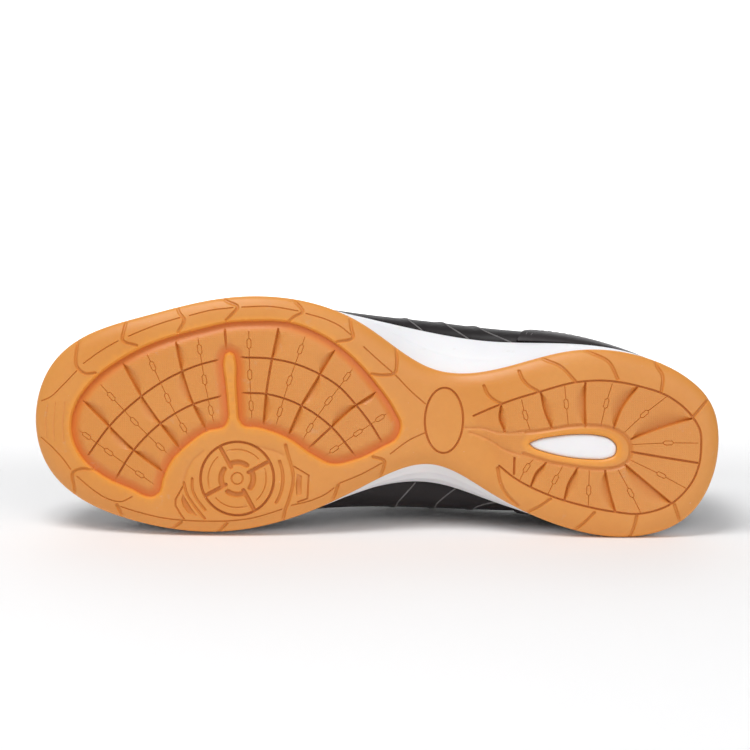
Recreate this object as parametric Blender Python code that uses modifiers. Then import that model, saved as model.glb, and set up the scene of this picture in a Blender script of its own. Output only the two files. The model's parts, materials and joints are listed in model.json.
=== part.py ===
"""Indoor soccer shoe for the left foot, lying on its inner side.

The shoe is drawn standing on its sole, with the toe along -X, the inner side along +Y
and the floor at z = 0. One parent empty then lays it on its side on the floor.
"""

import math

import bmesh
import bpy
import numpy as np
from mathutils import Matrix, Vector
from mathutils.geometry import intersect_ray_tri

MM = 0.001

# Sizes of the sole
SOLE_LENGTH = 294.0 * MM
BALL_WIDTH = 100.0 * MM
TOE_SPRING = 10.0 * MM
ARCH_LIFT = 5.0 * MM
PLATE = 5.0 * MM
LIP = 1.8 * MM
CUP_WALL = 2.2 * MM
BEVEL_WIDTH = 8.0 * MM
BEVEL_RISE = 2.6 * MM
HEEL_STACK = 23.0 * MM
WAIST_STACK = 22.0 * MM
BALL_STACK = 17.0 * MM
TOE_STACK = 16.0 * MM
BUMPER_DROP = 1.5 * MM
SILL = 0.6 * MM

# Shares that shape the sole's section
KNEE_INSET = 0.42
KNEE_RISE = 0.30
BEVEL_CURVE = 1.5
WALL_LEAN = 0.12
FOAM_FLARE = 0.55
BUMPER_BACK = 0.885
BUMPER_FRONT = 0.965

# Sizes of the tread
FIELD_DEPTH = 0.6 * MM
MOAT_WIDTH = 2.4 * MM
MOAT_DEPTH = 1.6 * MM
GROOVE_WIDTH = 1.8 * MM
GROOVE_DEPTH = 1.4 * MM
NOTCH_WIDTH = 2.6 * MM
NOTCH_DEPTH = 1.1 * MM
LINE_WIDTH = 1.2 * MM
LINE_DEPTH = 0.9 * MM
PIVOT_RADIUS = 15.7 * MM
PIVOT_HUB = 5.4 * MM
PIVOT_TRENCH = 2.4 * MM
OVAL_LENGTH = 16.4 * MM
OVAL_WIDTH = 28.0 * MM

# Places and turns of the tread's disc and oval: along and across in shares, then degrees
PIVOT_PLACE = (0.700, 0.227)
OVAL_PLACE = (0.401, -0.045)
PIVOT_SPOKES = 4
PIVOT_TURN = 60.0
TRENCH_TURN = 62.0

# Sizes of the upper
UPPER_WALL = 2.0 * MM
MARGIN = 9.0 * MM
FOOT_INSET = 1.2 * MM
FOOT_BULGE = 10.0 * MM
THROAT_WIDTH = 34.0 * MM
INSTEP_HEIGHT = 112.0 * MM
HEEL_HEIGHT = 78.0 * MM
TONGUE_WIDTH = 58.0 * MM
TONGUE_THICKNESS = 4.0 * MM
TONGUE_GAP = 1.3 * MM
INSOLE_THICKNESS = 3.0 * MM
INSOLE_SIDE_GAP = 2.6 * MM
INSOLE_STRAIGHT = 0.6
INSOLE_ROUND = 0.5
OVERLAY_WALL = 1.2 * MM
OVERLAY_GAP = 0.55 * MM
EYESTAY_WIDTH = 18.0 * MM
EYESTAY_EDGE = 1.0 * MM
COUNTER_HEIGHT = 50.0 * MM

# Sizes of the lacing
EYELET_PAIRS = 6
EYELET_BORE = 4.4 * MM
EYELET_EDGE = 8.0 * MM
LACE_THICKNESS = 3.2 * MM
LACE_DROP = 9.0 * MM
LACE_SHARES = (-1.0, -0.64, 0.0, 0.64, 1.0)

# Gap between neighbouring solids
FIT = 0.3 * MM

# Thickness from the outsole's underside to the midsole's top: along, thickness
STACK_ROWS = [
    (0.20, HEEL_STACK),
    (0.45, WAIST_STACK),
    (0.70, BALL_STACK),
    (0.95, TOE_STACK),
]

# Outline of the outsole: name, along (share of SOLE_LENGTH from the heel), then the
# reach to the outer and to the inner side (shares of BALL_WIDTH)
SOLE_ROWS = [
    ("heel back", 0.000, 0.020, 0.020),
    ("heel curve", 0.010, -0.135, 0.188),
    ("heel corner", 0.045, -0.249, 0.344),
    ("heel side", 0.120, -0.345, 0.429),
    ("heel front", 0.220, -0.356, 0.398),
    ("arch back", 0.330, -0.267, 0.260),
    ("waist", 0.420, -0.265, 0.144),
    ("arch front", 0.520, -0.442, 0.252),
    ("joint", 0.620, -0.545, 0.390),
    ("ball", 0.730, -0.542, 0.457),
    ("toes", 0.840, -0.460, 0.426),
    ("toe corner", 0.930, -0.364, 0.332),
    ("toe curve", 0.980, -0.230, 0.197),
    ("toe tip", 1.000, -0.010, -0.010),
]

# Outline of the midsole's top edge, where the upper is lasted: the same columns
LAST_ROWS = [
    ("heel back", 0.012, 0.018, 0.018),
    ("heel curve", 0.024, -0.140, 0.180),
    ("heel corner", 0.057, -0.255, 0.318),
    ("heel side", 0.120, -0.350, 0.392),
    ("heel front", 0.220, -0.392, 0.378),
    ("arch back", 0.330, -0.396, 0.300),
    ("waist", 0.420, -0.428, 0.232),
    ("arch front", 0.520, -0.480, 0.272),
    ("joint", 0.620, -0.522, 0.374),
    ("ball", 0.730, -0.520, 0.436),
    ("toes", 0.840, -0.438, 0.404),
    ("toe corner", 0.921, -0.340, 0.309),
    ("toe curve", 0.966, -0.215, 0.184),
    ("toe tip", 0.985, -0.010, -0.010),
]

# Outline of the upper where it is widest: the same columns
WIDE_ROWS = [
    ("heel back", 0.008, 0.018, 0.018),
    ("heel curve", 0.021, -0.146, 0.180),
    ("heel corner", 0.055, -0.266, 0.310),
    ("heel side", 0.120, -0.364, 0.356),
    ("heel front", 0.220, -0.434, 0.348),
    ("arch back", 0.330, -0.450, 0.346),
    ("waist", 0.420, -0.473, 0.344),
    ("arch front", 0.520, -0.497, 0.346),
    ("joint", 0.620, -0.527, 0.376),
    ("ball", 0.730, -0.522, 0.438),
    ("toes", 0.840, -0.441, 0.406),
    ("toe corner", 0.923, -0.342, 0.311),
    ("toe curve", 0.968, -0.217, 0.186),
    ("toe tip", 0.987, -0.010, -0.010),
]

# Lift of the sole off the floor: along, share of ARCH_LIFT, share of TOE_SPRING
LIFT_ROWS = [
    (0.00, 0.00, 0.00),
    (0.23, 0.00, 0.00),
    (0.29, 0.28, 0.00),
    (0.35, 0.80, 0.00),
    (0.41, 1.00, 0.00),
    (0.47, 0.80, 0.00),
    (0.53, 0.28, 0.00),
    (0.59, 0.00, 0.00),
    (0.74, 0.00, 0.00),
    (0.79, 0.00, 0.05),
    (0.84, 0.00, 0.16),
    (0.89, 0.00, 0.35),
    (0.94, 0.00, 0.61),
    (1.00, 0.00, 1.00),
]

# Line of the instep over the middle of the foot: along, height (share of INSTEP_HEIGHT)
# and the middle line's place across (share of BALL_WIDTH)
RIDGE_ROWS = [
    (0.12, 1.05, 0.020),
    (0.20, 1.07, 0.000),
    (0.30, 1.07, -0.030),
    (0.40, 0.985, -0.055),
    (0.46, 0.895, -0.065),
    (0.52, 0.790, -0.068),
    (0.58, 0.695, -0.066),
    (0.65, 0.600, -0.058),
    (0.72, 0.532, -0.046),
    (0.79, 0.485, -0.032),
    (0.848, 0.455, -0.022),
]

# Height of the collar's edge (share of HEEL_HEIGHT) and how full the section is
COLLAR_ROWS = [
    (0.00, 1.00, 1.10),
    (0.06, 0.960, 1.15),
    (0.12, 0.860, 1.35),
    (0.20, 0.775, 1.70),
    (0.27, 0.770, 1.75),
    (0.34, 0.850, 1.45),
    (0.40, 1.020, 1.05),
    (0.44, 1.170, 0.98),
    (0.50, 1.700, 0.98),
    (0.60, 2.000, 0.95),
    (0.75, 2.000, 0.86),
    (0.86, 2.000, 0.80),
    (1.00, 2.000, 0.80),
]

# Places of the upper's cross sections along the foot, from the heel turn to the toe turn
SECTION_PLACES = [0.125, 0.17, 0.215, 0.26, 0.30, 0.34, 0.375, 0.405, 0.432, 0.46, 0.495,
                  0.53, 0.565, 0.60, 0.628, 0.645, 0.66, 0.68, 0.695, 0.703, 0.73, 0.77, 0.81,
                  0.848]
THROAT_BACK = 0.432
THROAT_ROUND = 0.628
THROAT_FRONT = 0.660
EYESTAY_ROUND = 0.640
EYESTAY_FRONT = 0.704
EYELETS_BACK = 0.450
EYELETS_FRONT = 0.630
TONGUE_TOP = 0.392
TONGUE_END = 0.700
TONGUE_TAPER = 0.16
TONGUE_TAPER_BACK = 0.55
TONGUE_SHARES = (0.0, 0.33, 0.67, 1.0)
COUNTER_PLACES = [0.125, 0.17, 0.215, 0.25]
COUNTER_SLOPE = 0.42

# Turns round a section, in degrees: 0 where it is widest, 90 on the ridge
BULGE_TURN = -35.0
COUNTER_TURN = -78.0
STAY_EDGE_TURN = 1.0

# How finely the shapes are divided
TOE_TURNS = 10
HEEL_TURNS = 10
PROFILE_ROWS = 7
TONGUE_SECTIONS = 12
EYESTAY_ROWS = 4
EYELET_SIDES = 8
CIRCLE_POINTS = 24
TRENCH_POINTS = 5
TREAD_STEPS = 2
DENSE_STEPS = 16
RIM_STEP = 10.5 * MM
WELD = 0.01 * MM
CUT_SNAP = 0.02 * MM
SMOOTH_ANGLE = 35.0
LEAST_MITRE = 0.5
SIDE_FACING = 0.5

# Boundary of the sunk field under the forefoot: along, across (shares as above)
FIELD_POINTS = [
    (0.946, -0.026), (0.911, -0.195), (0.832, -0.343), (0.754, -0.418), (0.683, -0.453),
    (0.628, -0.449), (0.575, -0.389), (0.500, -0.194), (0.466, 0.001), (0.491, 0.075),
    (0.529, 0.134), (0.563, 0.154), (0.595, 0.113), (0.650, 0.030), (0.700, -0.010),
    (0.746, 0.027), (0.794, 0.151), (0.811, 0.259), (0.816, 0.310), (0.859, 0.280),
    (0.897, 0.232), (0.927, 0.165), (0.944, 0.081),
]

# The two arcs that cross the field, broken by the bar in its middle
FIELD_ARCS = [
    [(0.919, 0.143), (0.890, 0.021), (0.850, -0.097), (0.809, -0.186), (0.756, -0.259),
     (0.733, -0.278)],
    [(0.706, -0.289), (0.654, -0.289), (0.620, -0.270), (0.585, -0.230), (0.555, -0.176),
     (0.509, -0.026), (0.491, 0.054)],
    [(0.878, 0.243), (0.853, 0.121), (0.814, 0.000), (0.766, -0.087), (0.727, -0.124)],
    [(0.699, -0.139), (0.661, -0.138), (0.609, -0.091), (0.565, -0.004), (0.529, 0.117)],
]

# Grooves that fan out across the field
FIELD_RAYS = [
    [(0.929, -0.087), (0.889, 0.021), (0.852, 0.119), (0.807, 0.212)],
    [(0.872, -0.254), (0.844, -0.117), (0.814, 0.002), (0.784, 0.111)],
    [(0.795, -0.350), (0.785, -0.231), (0.767, -0.085), (0.747, 0.020)],
    [(0.646, -0.420), (0.654, -0.289), (0.661, -0.140), (0.664, -0.010)],
    [(0.563, -0.334), (0.584, -0.226), (0.609, -0.095), (0.628, 0.030)],
    [(0.501, -0.159), (0.529, -0.102), (0.565, -0.004), (0.597, 0.088)],
]

# Grooves either side of the bar in the middle of the field
BAR_SIDES = [
    [(0.7265, -0.290), (0.717, -0.053), (0.722, -0.020)],
    [(0.7015, -0.290), (0.702, -0.083), (0.690, -0.020)],
]

# Window in the heel, through which the midsole shows
WINDOW_POINTS = [
    (0.276, 0.045), (0.243, 0.014), (0.204, -0.003), (0.178, -0.001), (0.158, 0.015),
    (0.149, 0.044), (0.151, 0.083), (0.164, 0.101), (0.190, 0.105), (0.230, 0.093),
    (0.255, 0.076),
]

# Line that rings the heel's tread
HEEL_RING = [
    (0.358, -0.068), (0.335, -0.100), (0.264, -0.178), (0.212, -0.223), (0.173, -0.234),
    (0.120, -0.215), (0.072, -0.168), (0.041, -0.093), (0.026, 0.034), (0.037, 0.185),
    (0.068, 0.286), (0.115, 0.332), (0.188, 0.308), (0.247, 0.261), (0.300, 0.186),
    (0.319, 0.143),
]

# Grooves that fan out across the heel
HEEL_RAYS = [
    [(0.316, -0.100), (0.321, -0.067), (0.314, -0.007)],
    [(0.259, -0.160), (0.255, -0.098), (0.244, -0.026)],
    [(0.197, -0.205), (0.197, -0.141), (0.195, -0.048)],
    [(0.122, -0.195), (0.143, -0.119), (0.154, -0.033)],
    [(0.046, -0.070), (0.128, 0.012)],
    [(0.127, 0.068), (0.040, 0.103)],
    [(0.136, 0.124), (0.074, 0.265)],
    [(0.165, 0.152), (0.151, 0.300)],
    [(0.205, 0.143), (0.218, 0.212), (0.222, 0.262)],
    [(0.251, 0.125), (0.265, 0.169), (0.271, 0.210)],
]

# Notches across the bevelled rim, from the edge inwards
RIM_NOTCHES = [
    [(0.939, -0.345), (0.937, -0.223), (0.912, -0.208)],
    [(0.866, -0.445), (0.873, -0.353), (0.852, -0.335)],
    [(0.800, -0.515), (0.784, -0.458), (0.795, -0.400)],
    [(0.731, -0.560), (0.706, -0.507), (0.721, -0.460)],
    [(0.626, -0.560), (0.611, -0.495), (0.632, -0.465)],
    [(0.544, -0.495), (0.537, -0.392), (0.556, -0.372)],
    [(0.474, -0.360), (0.475, -0.243), (0.500, -0.232)],
    [(0.938, 0.330), (0.941, 0.222), (0.924, 0.212)],
    [(0.864, 0.430), (0.875, 0.354), (0.855, 0.320)],
    [(0.800, 0.470), (0.780, 0.415)],
    [(0.726, 0.475), (0.713, 0.414)],
    [(0.626, 0.415), (0.640, 0.345)],
    [(0.564, 0.325), (0.553, 0.243)],
    [(0.492, 0.200), (0.486, 0.139), (0.500, 0.122)],
    [(0.352, -0.235), (0.322, -0.130)],
    [(0.298, -0.310), (0.281, -0.215), (0.270, -0.192)],
    [(0.262, -0.350), (0.235, -0.292), (0.216, -0.240)],
    [(0.194, -0.375), (0.164, -0.315), (0.152, -0.255)],
    [(0.097, -0.350), (0.085, -0.261), (0.086, -0.210)],
    [(0.012, -0.185), (0.036, -0.100)],
    [(0.064, 0.300), (0.053, 0.385)],
    [(0.118, 0.350), (0.121, 0.393), (0.128, 0.445)],
    [(0.181, 0.325), (0.207, 0.425)],
    [(0.247, 0.275), (0.278, 0.355)],
]

# Looks under plain light: colour (red, green, blue) and roughness
LOOKS = {
    "outsole": ((0.75, 0.31, 0.08), 0.45),
    "midsole": ((0.88, 0.88, 0.90), 0.60),
    "insole": ((0.12, 0.12, 0.13), 0.90),
    "upper": ((0.022, 0.018, 0.020), 0.45),
    "tongue": ((0.035, 0.032, 0.034), 0.85),
    "eyestay": ((0.022, 0.018, 0.020), 0.40),
    "heel_counter": ((0.022, 0.018, 0.020), 0.35),
    "lace": ((0.035, 0.032, 0.034), 0.90),
}


def place(along, across):
    """Point in plan of a place given in shares of the sole's length and ball width."""
    return np.array([(0.5 - along) * SOLE_LENGTH, across * BALL_WIDTH])


def share_along(x):
    """Share of the sole's length, from the heel, of a place on the X axis."""
    return 0.5 - x / SOLE_LENGTH


def follow(rows, column, along):
    """Smooth value of one column of a table at a place along the foot."""
    places = np.array([row[0] for row in rows])
    values = np.array([row[column] for row in rows])
    slopes = np.gradient(values, places)
    low = int(np.clip(np.searchsorted(places, along) - 1, 0, len(rows) - 2))
    step = places[low + 1] - places[low]
    t = float(np.clip((along - places[low]) / step, 0.0, 1.0))
    start = values[low] * (2 * t ** 3 - 3 * t ** 2 + 1)
    start += slopes[low] * step * (t ** 3 - 2 * t ** 2 + t)
    end = values[low + 1] * (3 * t ** 2 - 2 * t ** 3)
    end += slopes[low + 1] * step * (t ** 3 - t ** 2)
    return float(start + end)


def closed_spline(points, counts):
    """Cubic spline through a closed row of points, with a count of points per interval."""
    points = np.array(points)
    total = len(points)
    after = np.roll(points, -1, axis=0)
    steps = np.linalg.norm(after - points, axis=1) ** 0.75
    matrix = np.zeros((total, total))
    right = np.zeros((total, 2))
    for i in range(total):
        before, now = steps[i - 1], steps[i]
        matrix[i, i - 1] += before
        matrix[i, i] += 2 * (before + now)
        matrix[i, (i + 1) % total] += now
        right[i] = 6 * ((after[i] - points[i]) / now - (points[i] - points[i - 1]) / before)
    bends = np.linalg.solve(matrix, right)
    result = []
    for i in range(total):
        far = (i + 1) % total
        for j in range(counts[i]):
            b = j / counts[i]
            a = 1.0 - b
            curve = (a ** 3 - a) * bends[i] + (b ** 3 - b) * bends[far]
            result.append(a * points[i] + b * points[far] + curve * steps[i] ** 2 / 6)
    return np.array(result)


def row_loop(rows):
    """The table's rows as one loop: outer side from heel to toe, inner side back."""
    outer = [place(row[1], row[2]) for row in rows]
    inner = [place(row[1], row[3]) for row in rows[-2:0:-1]]
    return outer + inner


def rim_counts():
    """How many points each interval of the sole's outline takes."""
    loop = row_loop(SOLE_ROWS)
    return [max(2, round(float(np.linalg.norm(loop[(i + 1) % len(loop)] - loop[i])) / RIM_STEP))
            for i in range(len(loop))]


def inset(points, distance):
    """The closed loop moved inwards, by one distance or by one for each point."""
    tangent = np.roll(points, -1, axis=0) - np.roll(points, 1, axis=0)
    tangent /= np.linalg.norm(tangent, axis=1)[:, None]
    inward = np.column_stack([tangent[:, 1], -tangent[:, 0]])
    return points + inward * np.reshape(distance, (-1, 1))


def smooth_step(value, start, end):
    """Ease from 0 at start to 1 at end."""
    t = np.clip((value - start) / (end - start), 0.0, 1.0)
    return t * t * (3.0 - 2.0 * t)


def lift(x):
    """Height of the outsole's flat underside over the floor."""
    places = [row[0] for row in LIFT_ROWS]
    heights = [row[1] * ARCH_LIFT + row[2] * TOE_SPRING for row in LIFT_ROWS]
    return np.interp(share_along(x), places, heights)


def stack(x):
    """Height from the outsole's underside to the midsole's top."""
    places, heights = zip(*STACK_ROWS)
    return np.interp(share_along(x), places, heights)


def bumper(x):
    """Share of the toe bumper's full height at a place along the sole."""
    return smooth_step(share_along(x), BUMPER_BACK, BUMPER_FRONT)


def lip_height(x):
    """Height of the outsole's wall, which rises into a bumper at the toe."""
    low = PLATE + LIP
    return low + (stack(x) - BUMPER_DROP - low) * bumper(x)


def feather_height(x):
    """Height of the midsole's top over the floor."""
    return lift(x) + stack(x)


def new_object(name, mesh, collection):
    """Object of a mesh with its own Principled material, as the table of looks has it."""
    colour, roughness = LOOKS[name]
    thing = bpy.data.objects.new(name, mesh)
    collection.objects.link(thing)
    material = bpy.data.materials.new(name)
    material.use_nodes = True
    shader = material.node_tree.nodes["Principled BSDF"]
    shader.inputs["Base Color"].default_value = (*colour, 1.0)
    shader.inputs["Roughness"].default_value = roughness
    mesh.materials.append(material)
    return thing


def finish_mesh(work, name, smooth=True):
    """Mesh from a bmesh, smooth but for its sharp corners."""
    mesh = bpy.data.meshes.new(name)
    work.to_mesh(mesh)
    work.free()
    if smooth:
        mesh.shade_smooth()
        mesh.set_sharp_from_angle(angle=math.radians(SMOOTH_ANGLE))
    return mesh


def ring_solid(rings):
    """Closed solid through rings of equal count, with a face over each end."""
    work = bmesh.new()
    layers = [[work.verts.new(point) for point in ring] for ring in rings]
    count = len(layers[0])
    for low, high in zip(layers, layers[1:]):
        for i in range(count):
            j = (i + 1) % count
            work.faces.new((low[i], low[j], high[j], high[i]))
    work.faces.new(layers[0])
    work.faces.new(layers[-1])
    bmesh.ops.recalc_face_normals(work, faces=work.faces)
    return work


def level(points, height):
    """Ring of points in plan at one height, or at one height for each point."""
    return np.column_stack([points, np.broadcast_to(height, len(points))])


def cut_across(work):
    """Cuts edges where the sole bends, so that its faces stay flat in each strip."""
    for row in LIFT_ROWS[1:-1]:
        x = (0.5 - row[0]) * SOLE_LENGTH
        bmesh.ops.bisect_plane(work, geom=work.verts[:] + work.edges[:] + work.faces[:],
                               dist=CUT_SNAP, plane_co=(x, 0.0, 0.0), plane_no=(1.0, 0.0, 0.0))


def prism(work, outline_points, bottom, tops):
    """Adds a closed prism over an outline in plan to a bmesh."""
    low = [work.verts.new((*point, bottom)) for point in outline_points]
    high = [work.verts.new((*point, top)) for point, top in zip(outline_points, tops)]
    count = len(low)
    for i in range(count):
        j = (i + 1) % count
        work.faces.new((low[i], low[j], high[j], high[i]))
    work.faces.new(low)
    work.faces.new(high)


def side_points(points, width, closed):
    """The two sides of a strip of one width along a line in plan."""
    points = np.array(points)
    if closed:
        ahead = np.roll(points, -1, axis=0) - points
        behind = points - np.roll(points, 1, axis=0)
    else:
        ahead = np.vstack([points[1:] - points[:-1], points[-1:] - points[-2:-1]])
        behind = np.vstack([ahead[:1], ahead[:-1]])
    ahead /= np.linalg.norm(ahead, axis=1)[:, None]
    behind /= np.linalg.norm(behind, axis=1)[:, None]
    along = ahead + behind
    along /= np.linalg.norm(along, axis=1)[:, None]
    stretch = 1.0 / np.maximum(np.sum(along * ahead, axis=1), LEAST_MITRE)
    across = np.column_stack([-along[:, 1], along[:, 0]]) * stretch[:, None] * width / 2
    return points + across, points - across


def strip(work, points, width, tops):
    """Adds a closed strip along an open line in plan to a bmesh."""
    left, right = side_points(points, width, closed=False)
    prism(work, np.vstack([left, right[::-1]]), -PLATE, list(tops) + list(tops)[::-1])


def loop_strip(work, points, width, top):
    """Adds a closed strip along a closed line in plan to a bmesh."""
    sides = side_points(points, width, closed=True)
    rings = [[work.verts.new((*point, height)) for point in side]
             for side, height in ((sides[0], -PLATE), (sides[0], top), (sides[1], top),
                                  (sides[1], -PLATE))]
    count = len(points)
    for ring, following in zip(rings, rings[1:] + rings[:1]):
        for i in range(count):
            j = (i + 1) % count
            work.faces.new((ring[i], ring[j], following[j], following[i]))


def add_cutter(name, work, cutters):
    """Object that is only used to cut others."""
    bmesh.ops.recalc_face_normals(work, faces=work.faces)
    mesh = finish_mesh(work, name, smooth=False)
    thing = bpy.data.objects.new(name, mesh)
    cutters.objects.link(thing)
    thing.hide_render = True
    thing.display_type = "WIRE"
    return thing


def cut(thing, cutter, operation="DIFFERENCE"):
    """Applies one Boolean to an object's mesh."""
    modifier = thing.modifiers.new(cutter.name, "BOOLEAN")
    modifier.operation = operation
    modifier.solver = "EXACT"
    modifier.object = cutter
    bpy.context.view_layer.update()
    evaluated = thing.evaluated_get(bpy.context.evaluated_depsgraph_get())
    mesh = bpy.data.meshes.new_from_object(evaluated)
    thing.modifiers.clear()
    thing.data = mesh


def circle(centre, radius, start, end, count):
    """Points of an arc in plan, with its ends given in degrees."""
    turns = np.radians(np.linspace(start, end, count))
    return centre + radius * np.column_stack([np.cos(turns), np.sin(turns)])


def ellipse(centre, reach_along, reach_across):
    """Points of a closed ellipse in plan, with its half length and half width."""
    turns = np.radians(np.linspace(0.0, 360.0, CIRCLE_POINTS, endpoint=False))
    return centre + np.column_stack([np.cos(turns) * reach_along, np.sin(turns) * reach_across])


def rim_surface(points, sole_line):
    """Height of the outsole's underside over the flat, at points in plan."""
    heights = []
    for point in points:
        distance = float(np.min(np.linalg.norm(sole_line - point, axis=1)))
        inside = is_inside(point, sole_line)
        reach = distance if inside else 0.0
        heights.append(BEVEL_RISE * (1.0 - min(reach / BEVEL_WIDTH, 1.0)) ** BEVEL_CURVE)
    return heights


def is_inside(point, line):
    """Whether a point in plan lies inside a closed line."""
    after = np.roll(line, -1, axis=0)
    crosses = (line[:, 1] > point[1]) != (after[:, 1] > point[1])
    span = np.where(crosses, after[:, 1] - line[:, 1], 1.0)
    x = line[:, 0] + (point[1] - line[:, 1]) / span * (after[:, 0] - line[:, 0])
    return bool(np.sum(crosses & (x > point[0])) % 2)


def tread_cutters(cutters):
    """The tread's cutters, in groups whose shapes stay clear of each other."""
    sole_line = closed_spline(row_loop(SOLE_ROWS), [DENSE_STEPS] * (2 * len(SOLE_ROWS) - 2))
    field, window = (closed_spline([place(*row) for row in rows], [TREAD_STEPS] * len(rows))
                     for rows in (FIELD_POINTS, WINDOW_POINTS))
    pivot = place(*PIVOT_PLACE)
    spokes = [PIVOT_TURN + 360.0 / PIVOT_SPOKES * turn for turn in range(PIVOT_SPOKES)]

    sunk = bmesh.new()
    prism(sunk, inset(field, MOAT_WIDTH / 2), -PLATE, [FIELD_DEPTH] * len(field))
    prism(sunk, window, -PLATE, [2 * PLATE] * len(window))
    loop_strip(sunk, ellipse(pivot, PIVOT_RADIUS, PIVOT_RADIUS), GROOVE_WIDTH, GROOVE_DEPTH)
    for start in spokes:
        trench = circle(pivot, PIVOT_HUB + PIVOT_TRENCH, start, start + TRENCH_TURN,
                        TRENCH_POINTS)
        strip(sunk, trench, PIVOT_TRENCH, [GROOVE_DEPTH] * len(trench))

    edges = bmesh.new()
    loop_strip(edges, inset(field, MOAT_WIDTH / 2), MOAT_WIDTH, MOAT_DEPTH)
    oval = ellipse(place(*OVAL_PLACE), OVAL_LENGTH / 2, OVAL_WIDTH / 2)
    loop_strip(edges, oval, LINE_WIDTH, LINE_DEPTH)
    ring = [place(*row) for row in HEEL_RING]
    strip(edges, ring, LINE_WIDTH, [LINE_DEPTH] * len(ring))
    for start in spokes:
        ray = [circle(pivot, reach, start, start, 1)[0]
               for reach in (PIVOT_HUB + PIVOT_TRENCH, PIVOT_RADIUS - GROOVE_WIDTH)]
        strip(edges, ray, GROOVE_WIDTH, [GROOVE_DEPTH] * len(ray))

    arcs = bmesh.new()
    for line in FIELD_ARCS:
        strip(arcs, [place(*row) for row in line], GROOVE_WIDTH, [GROOVE_DEPTH] * len(line))
    for line in RIM_NOTCHES:
        points = [place(*row) for row in line]
        tops = [height + NOTCH_DEPTH for height in rim_surface(points, sole_line)]
        strip(arcs, points, NOTCH_WIDTH, tops)

    rays = bmesh.new()
    for line in FIELD_RAYS + BAR_SIDES + HEEL_RAYS:
        strip(rays, [place(*row) for row in line], GROOVE_WIDTH, [GROOVE_DEPTH] * len(line))

    return [add_cutter("cut_sunk_places", sunk, cutters), add_cutter("cut_edges", edges, cutters),
            add_cutter("cut_arcs_and_notches", arcs, cutters),
            add_cutter("cut_rays", rays, cutters)]


def bend(work, shift):
    """Moves each vertex up by a function of its place along the foot and its height."""
    for vertex in work.verts:
        vertex.co.z += shift(vertex.co.x, vertex.co.z)


def outsole(collection, cutters):
    """Gum rubber cup: bevelled plate with its tread, low wall and toe bumper."""
    line = closed_spline(row_loop(SOLE_ROWS), rim_counts())
    tops = lip_height(line[:, 0])
    lean = WALL_LEAN * (tops - PLATE - LIP)
    work = ring_solid([
        level(inset(line, BEVEL_WIDTH), 0.0),
        level(inset(line, KNEE_INSET * BEVEL_WIDTH), KNEE_RISE * BEVEL_RISE),
        level(line, BEVEL_RISE),
        level(inset(line, lean), tops),
        level(inset(line, CUP_WALL + lean), tops),
        level(inset(line, CUP_WALL), PLATE),
    ])
    mesh = finish_mesh(work, "outsole")
    thing = new_object("outsole", mesh, collection)
    for cutter in tread_cutters(cutters):
        cut(thing, cutter)
    work = bmesh.new()
    work.from_mesh(thing.data)
    cut_across(work)
    bend(work, lambda x, z: lift(x))
    bmesh.ops.triangulate(work, faces=work.faces)
    bmesh.ops.remove_doubles(work, verts=work.verts, dist=WELD)
    work.to_mesh(thing.data)
    work.free()
    return thing


def midsole(collection):
    """White foam wedge from the outsole's cup out to the lasted edge of the upper."""
    line = closed_spline(row_loop(SOLE_ROWS), rim_counts())
    last = closed_spline(row_loop(LAST_ROWS), rim_counts())
    lips = lip_height(line[:, 0])
    lean = WALL_LEAN * (lips - PLATE - LIP)
    bumped = bumper(line[:, 0])
    sill = SILL + (CUP_WALL + FIT + lean - SILL) * bumped
    cup = CUP_WALL + FIT
    outer = inset(line, sill)
    top_height = WAIST_STACK
    scale = (top_height - PLATE) / (stack(line[:, 0]) - PLATE)
    sill_height = PLATE + (lips + FIT - PLATE) * scale
    swollen = (inset(outer, -SILL) - outer) * (1 - bumped)[:, None]
    middle = outer + (last - outer) * FOAM_FLARE + swollen
    work = ring_solid([
        level(inset(line, cup), PLATE + FIT),
        level(inset(line, cup + lean), sill_height),
        level(outer, sill_height),
        level(middle, sill_height + (top_height - sill_height) / 2),
        level(last, top_height),
    ])
    cut_across(work)
    bend(work, lambda x, z: lift(x) + (z - PLATE - FIT) * ((stack(x) - PLATE - FIT)
                                                           / (top_height - PLATE - FIT) - 1.0))
    bmesh.ops.triangulate(work, faces=work.faces)
    return new_object("midsole", finish_mesh(work, "midsole"), collection)


def insole(collection):
    """Flat foam sheet that lies on the turned-in edge of the upper."""
    last = closed_spline(row_loop(LAST_ROWS), rim_counts())
    edge = FOOT_INSET + UPPER_WALL + INSOLE_SIDE_GAP
    floor = 3 * FIT + UPPER_WALL
    work = ring_solid([
        level(inset(last, edge), floor),
        level(inset(last, edge), floor + INSOLE_STRAIGHT * INSOLE_THICKNESS),
        level(inset(last, edge + INSOLE_ROUND * INSOLE_THICKNESS), floor + INSOLE_THICKNESS),
    ])
    cut_across(work)
    bend(work, lambda x, z: feather_height(x))
    bmesh.ops.triangulate(work, faces=work.faces)
    return new_object("insole", finish_mesh(work, "insole"), collection)


def reach(line, centre, direction):
    """Distance from a centre to a closed line in plan, along a direction."""
    first = line - centre
    second = np.roll(line, -1, axis=0) - centre
    side_first = first[:, 0] * direction[1] - first[:, 1] * direction[0]
    side_second = second[:, 0] * direction[1] - second[:, 1] * direction[0]
    crossing = (side_first > 0) != (side_second > 0)
    share = side_first[crossing] / (side_first[crossing] - side_second[crossing])
    points = first[crossing] + (second[crossing] - first[crossing]) * share[:, None]
    return float(np.max(points @ direction))


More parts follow.
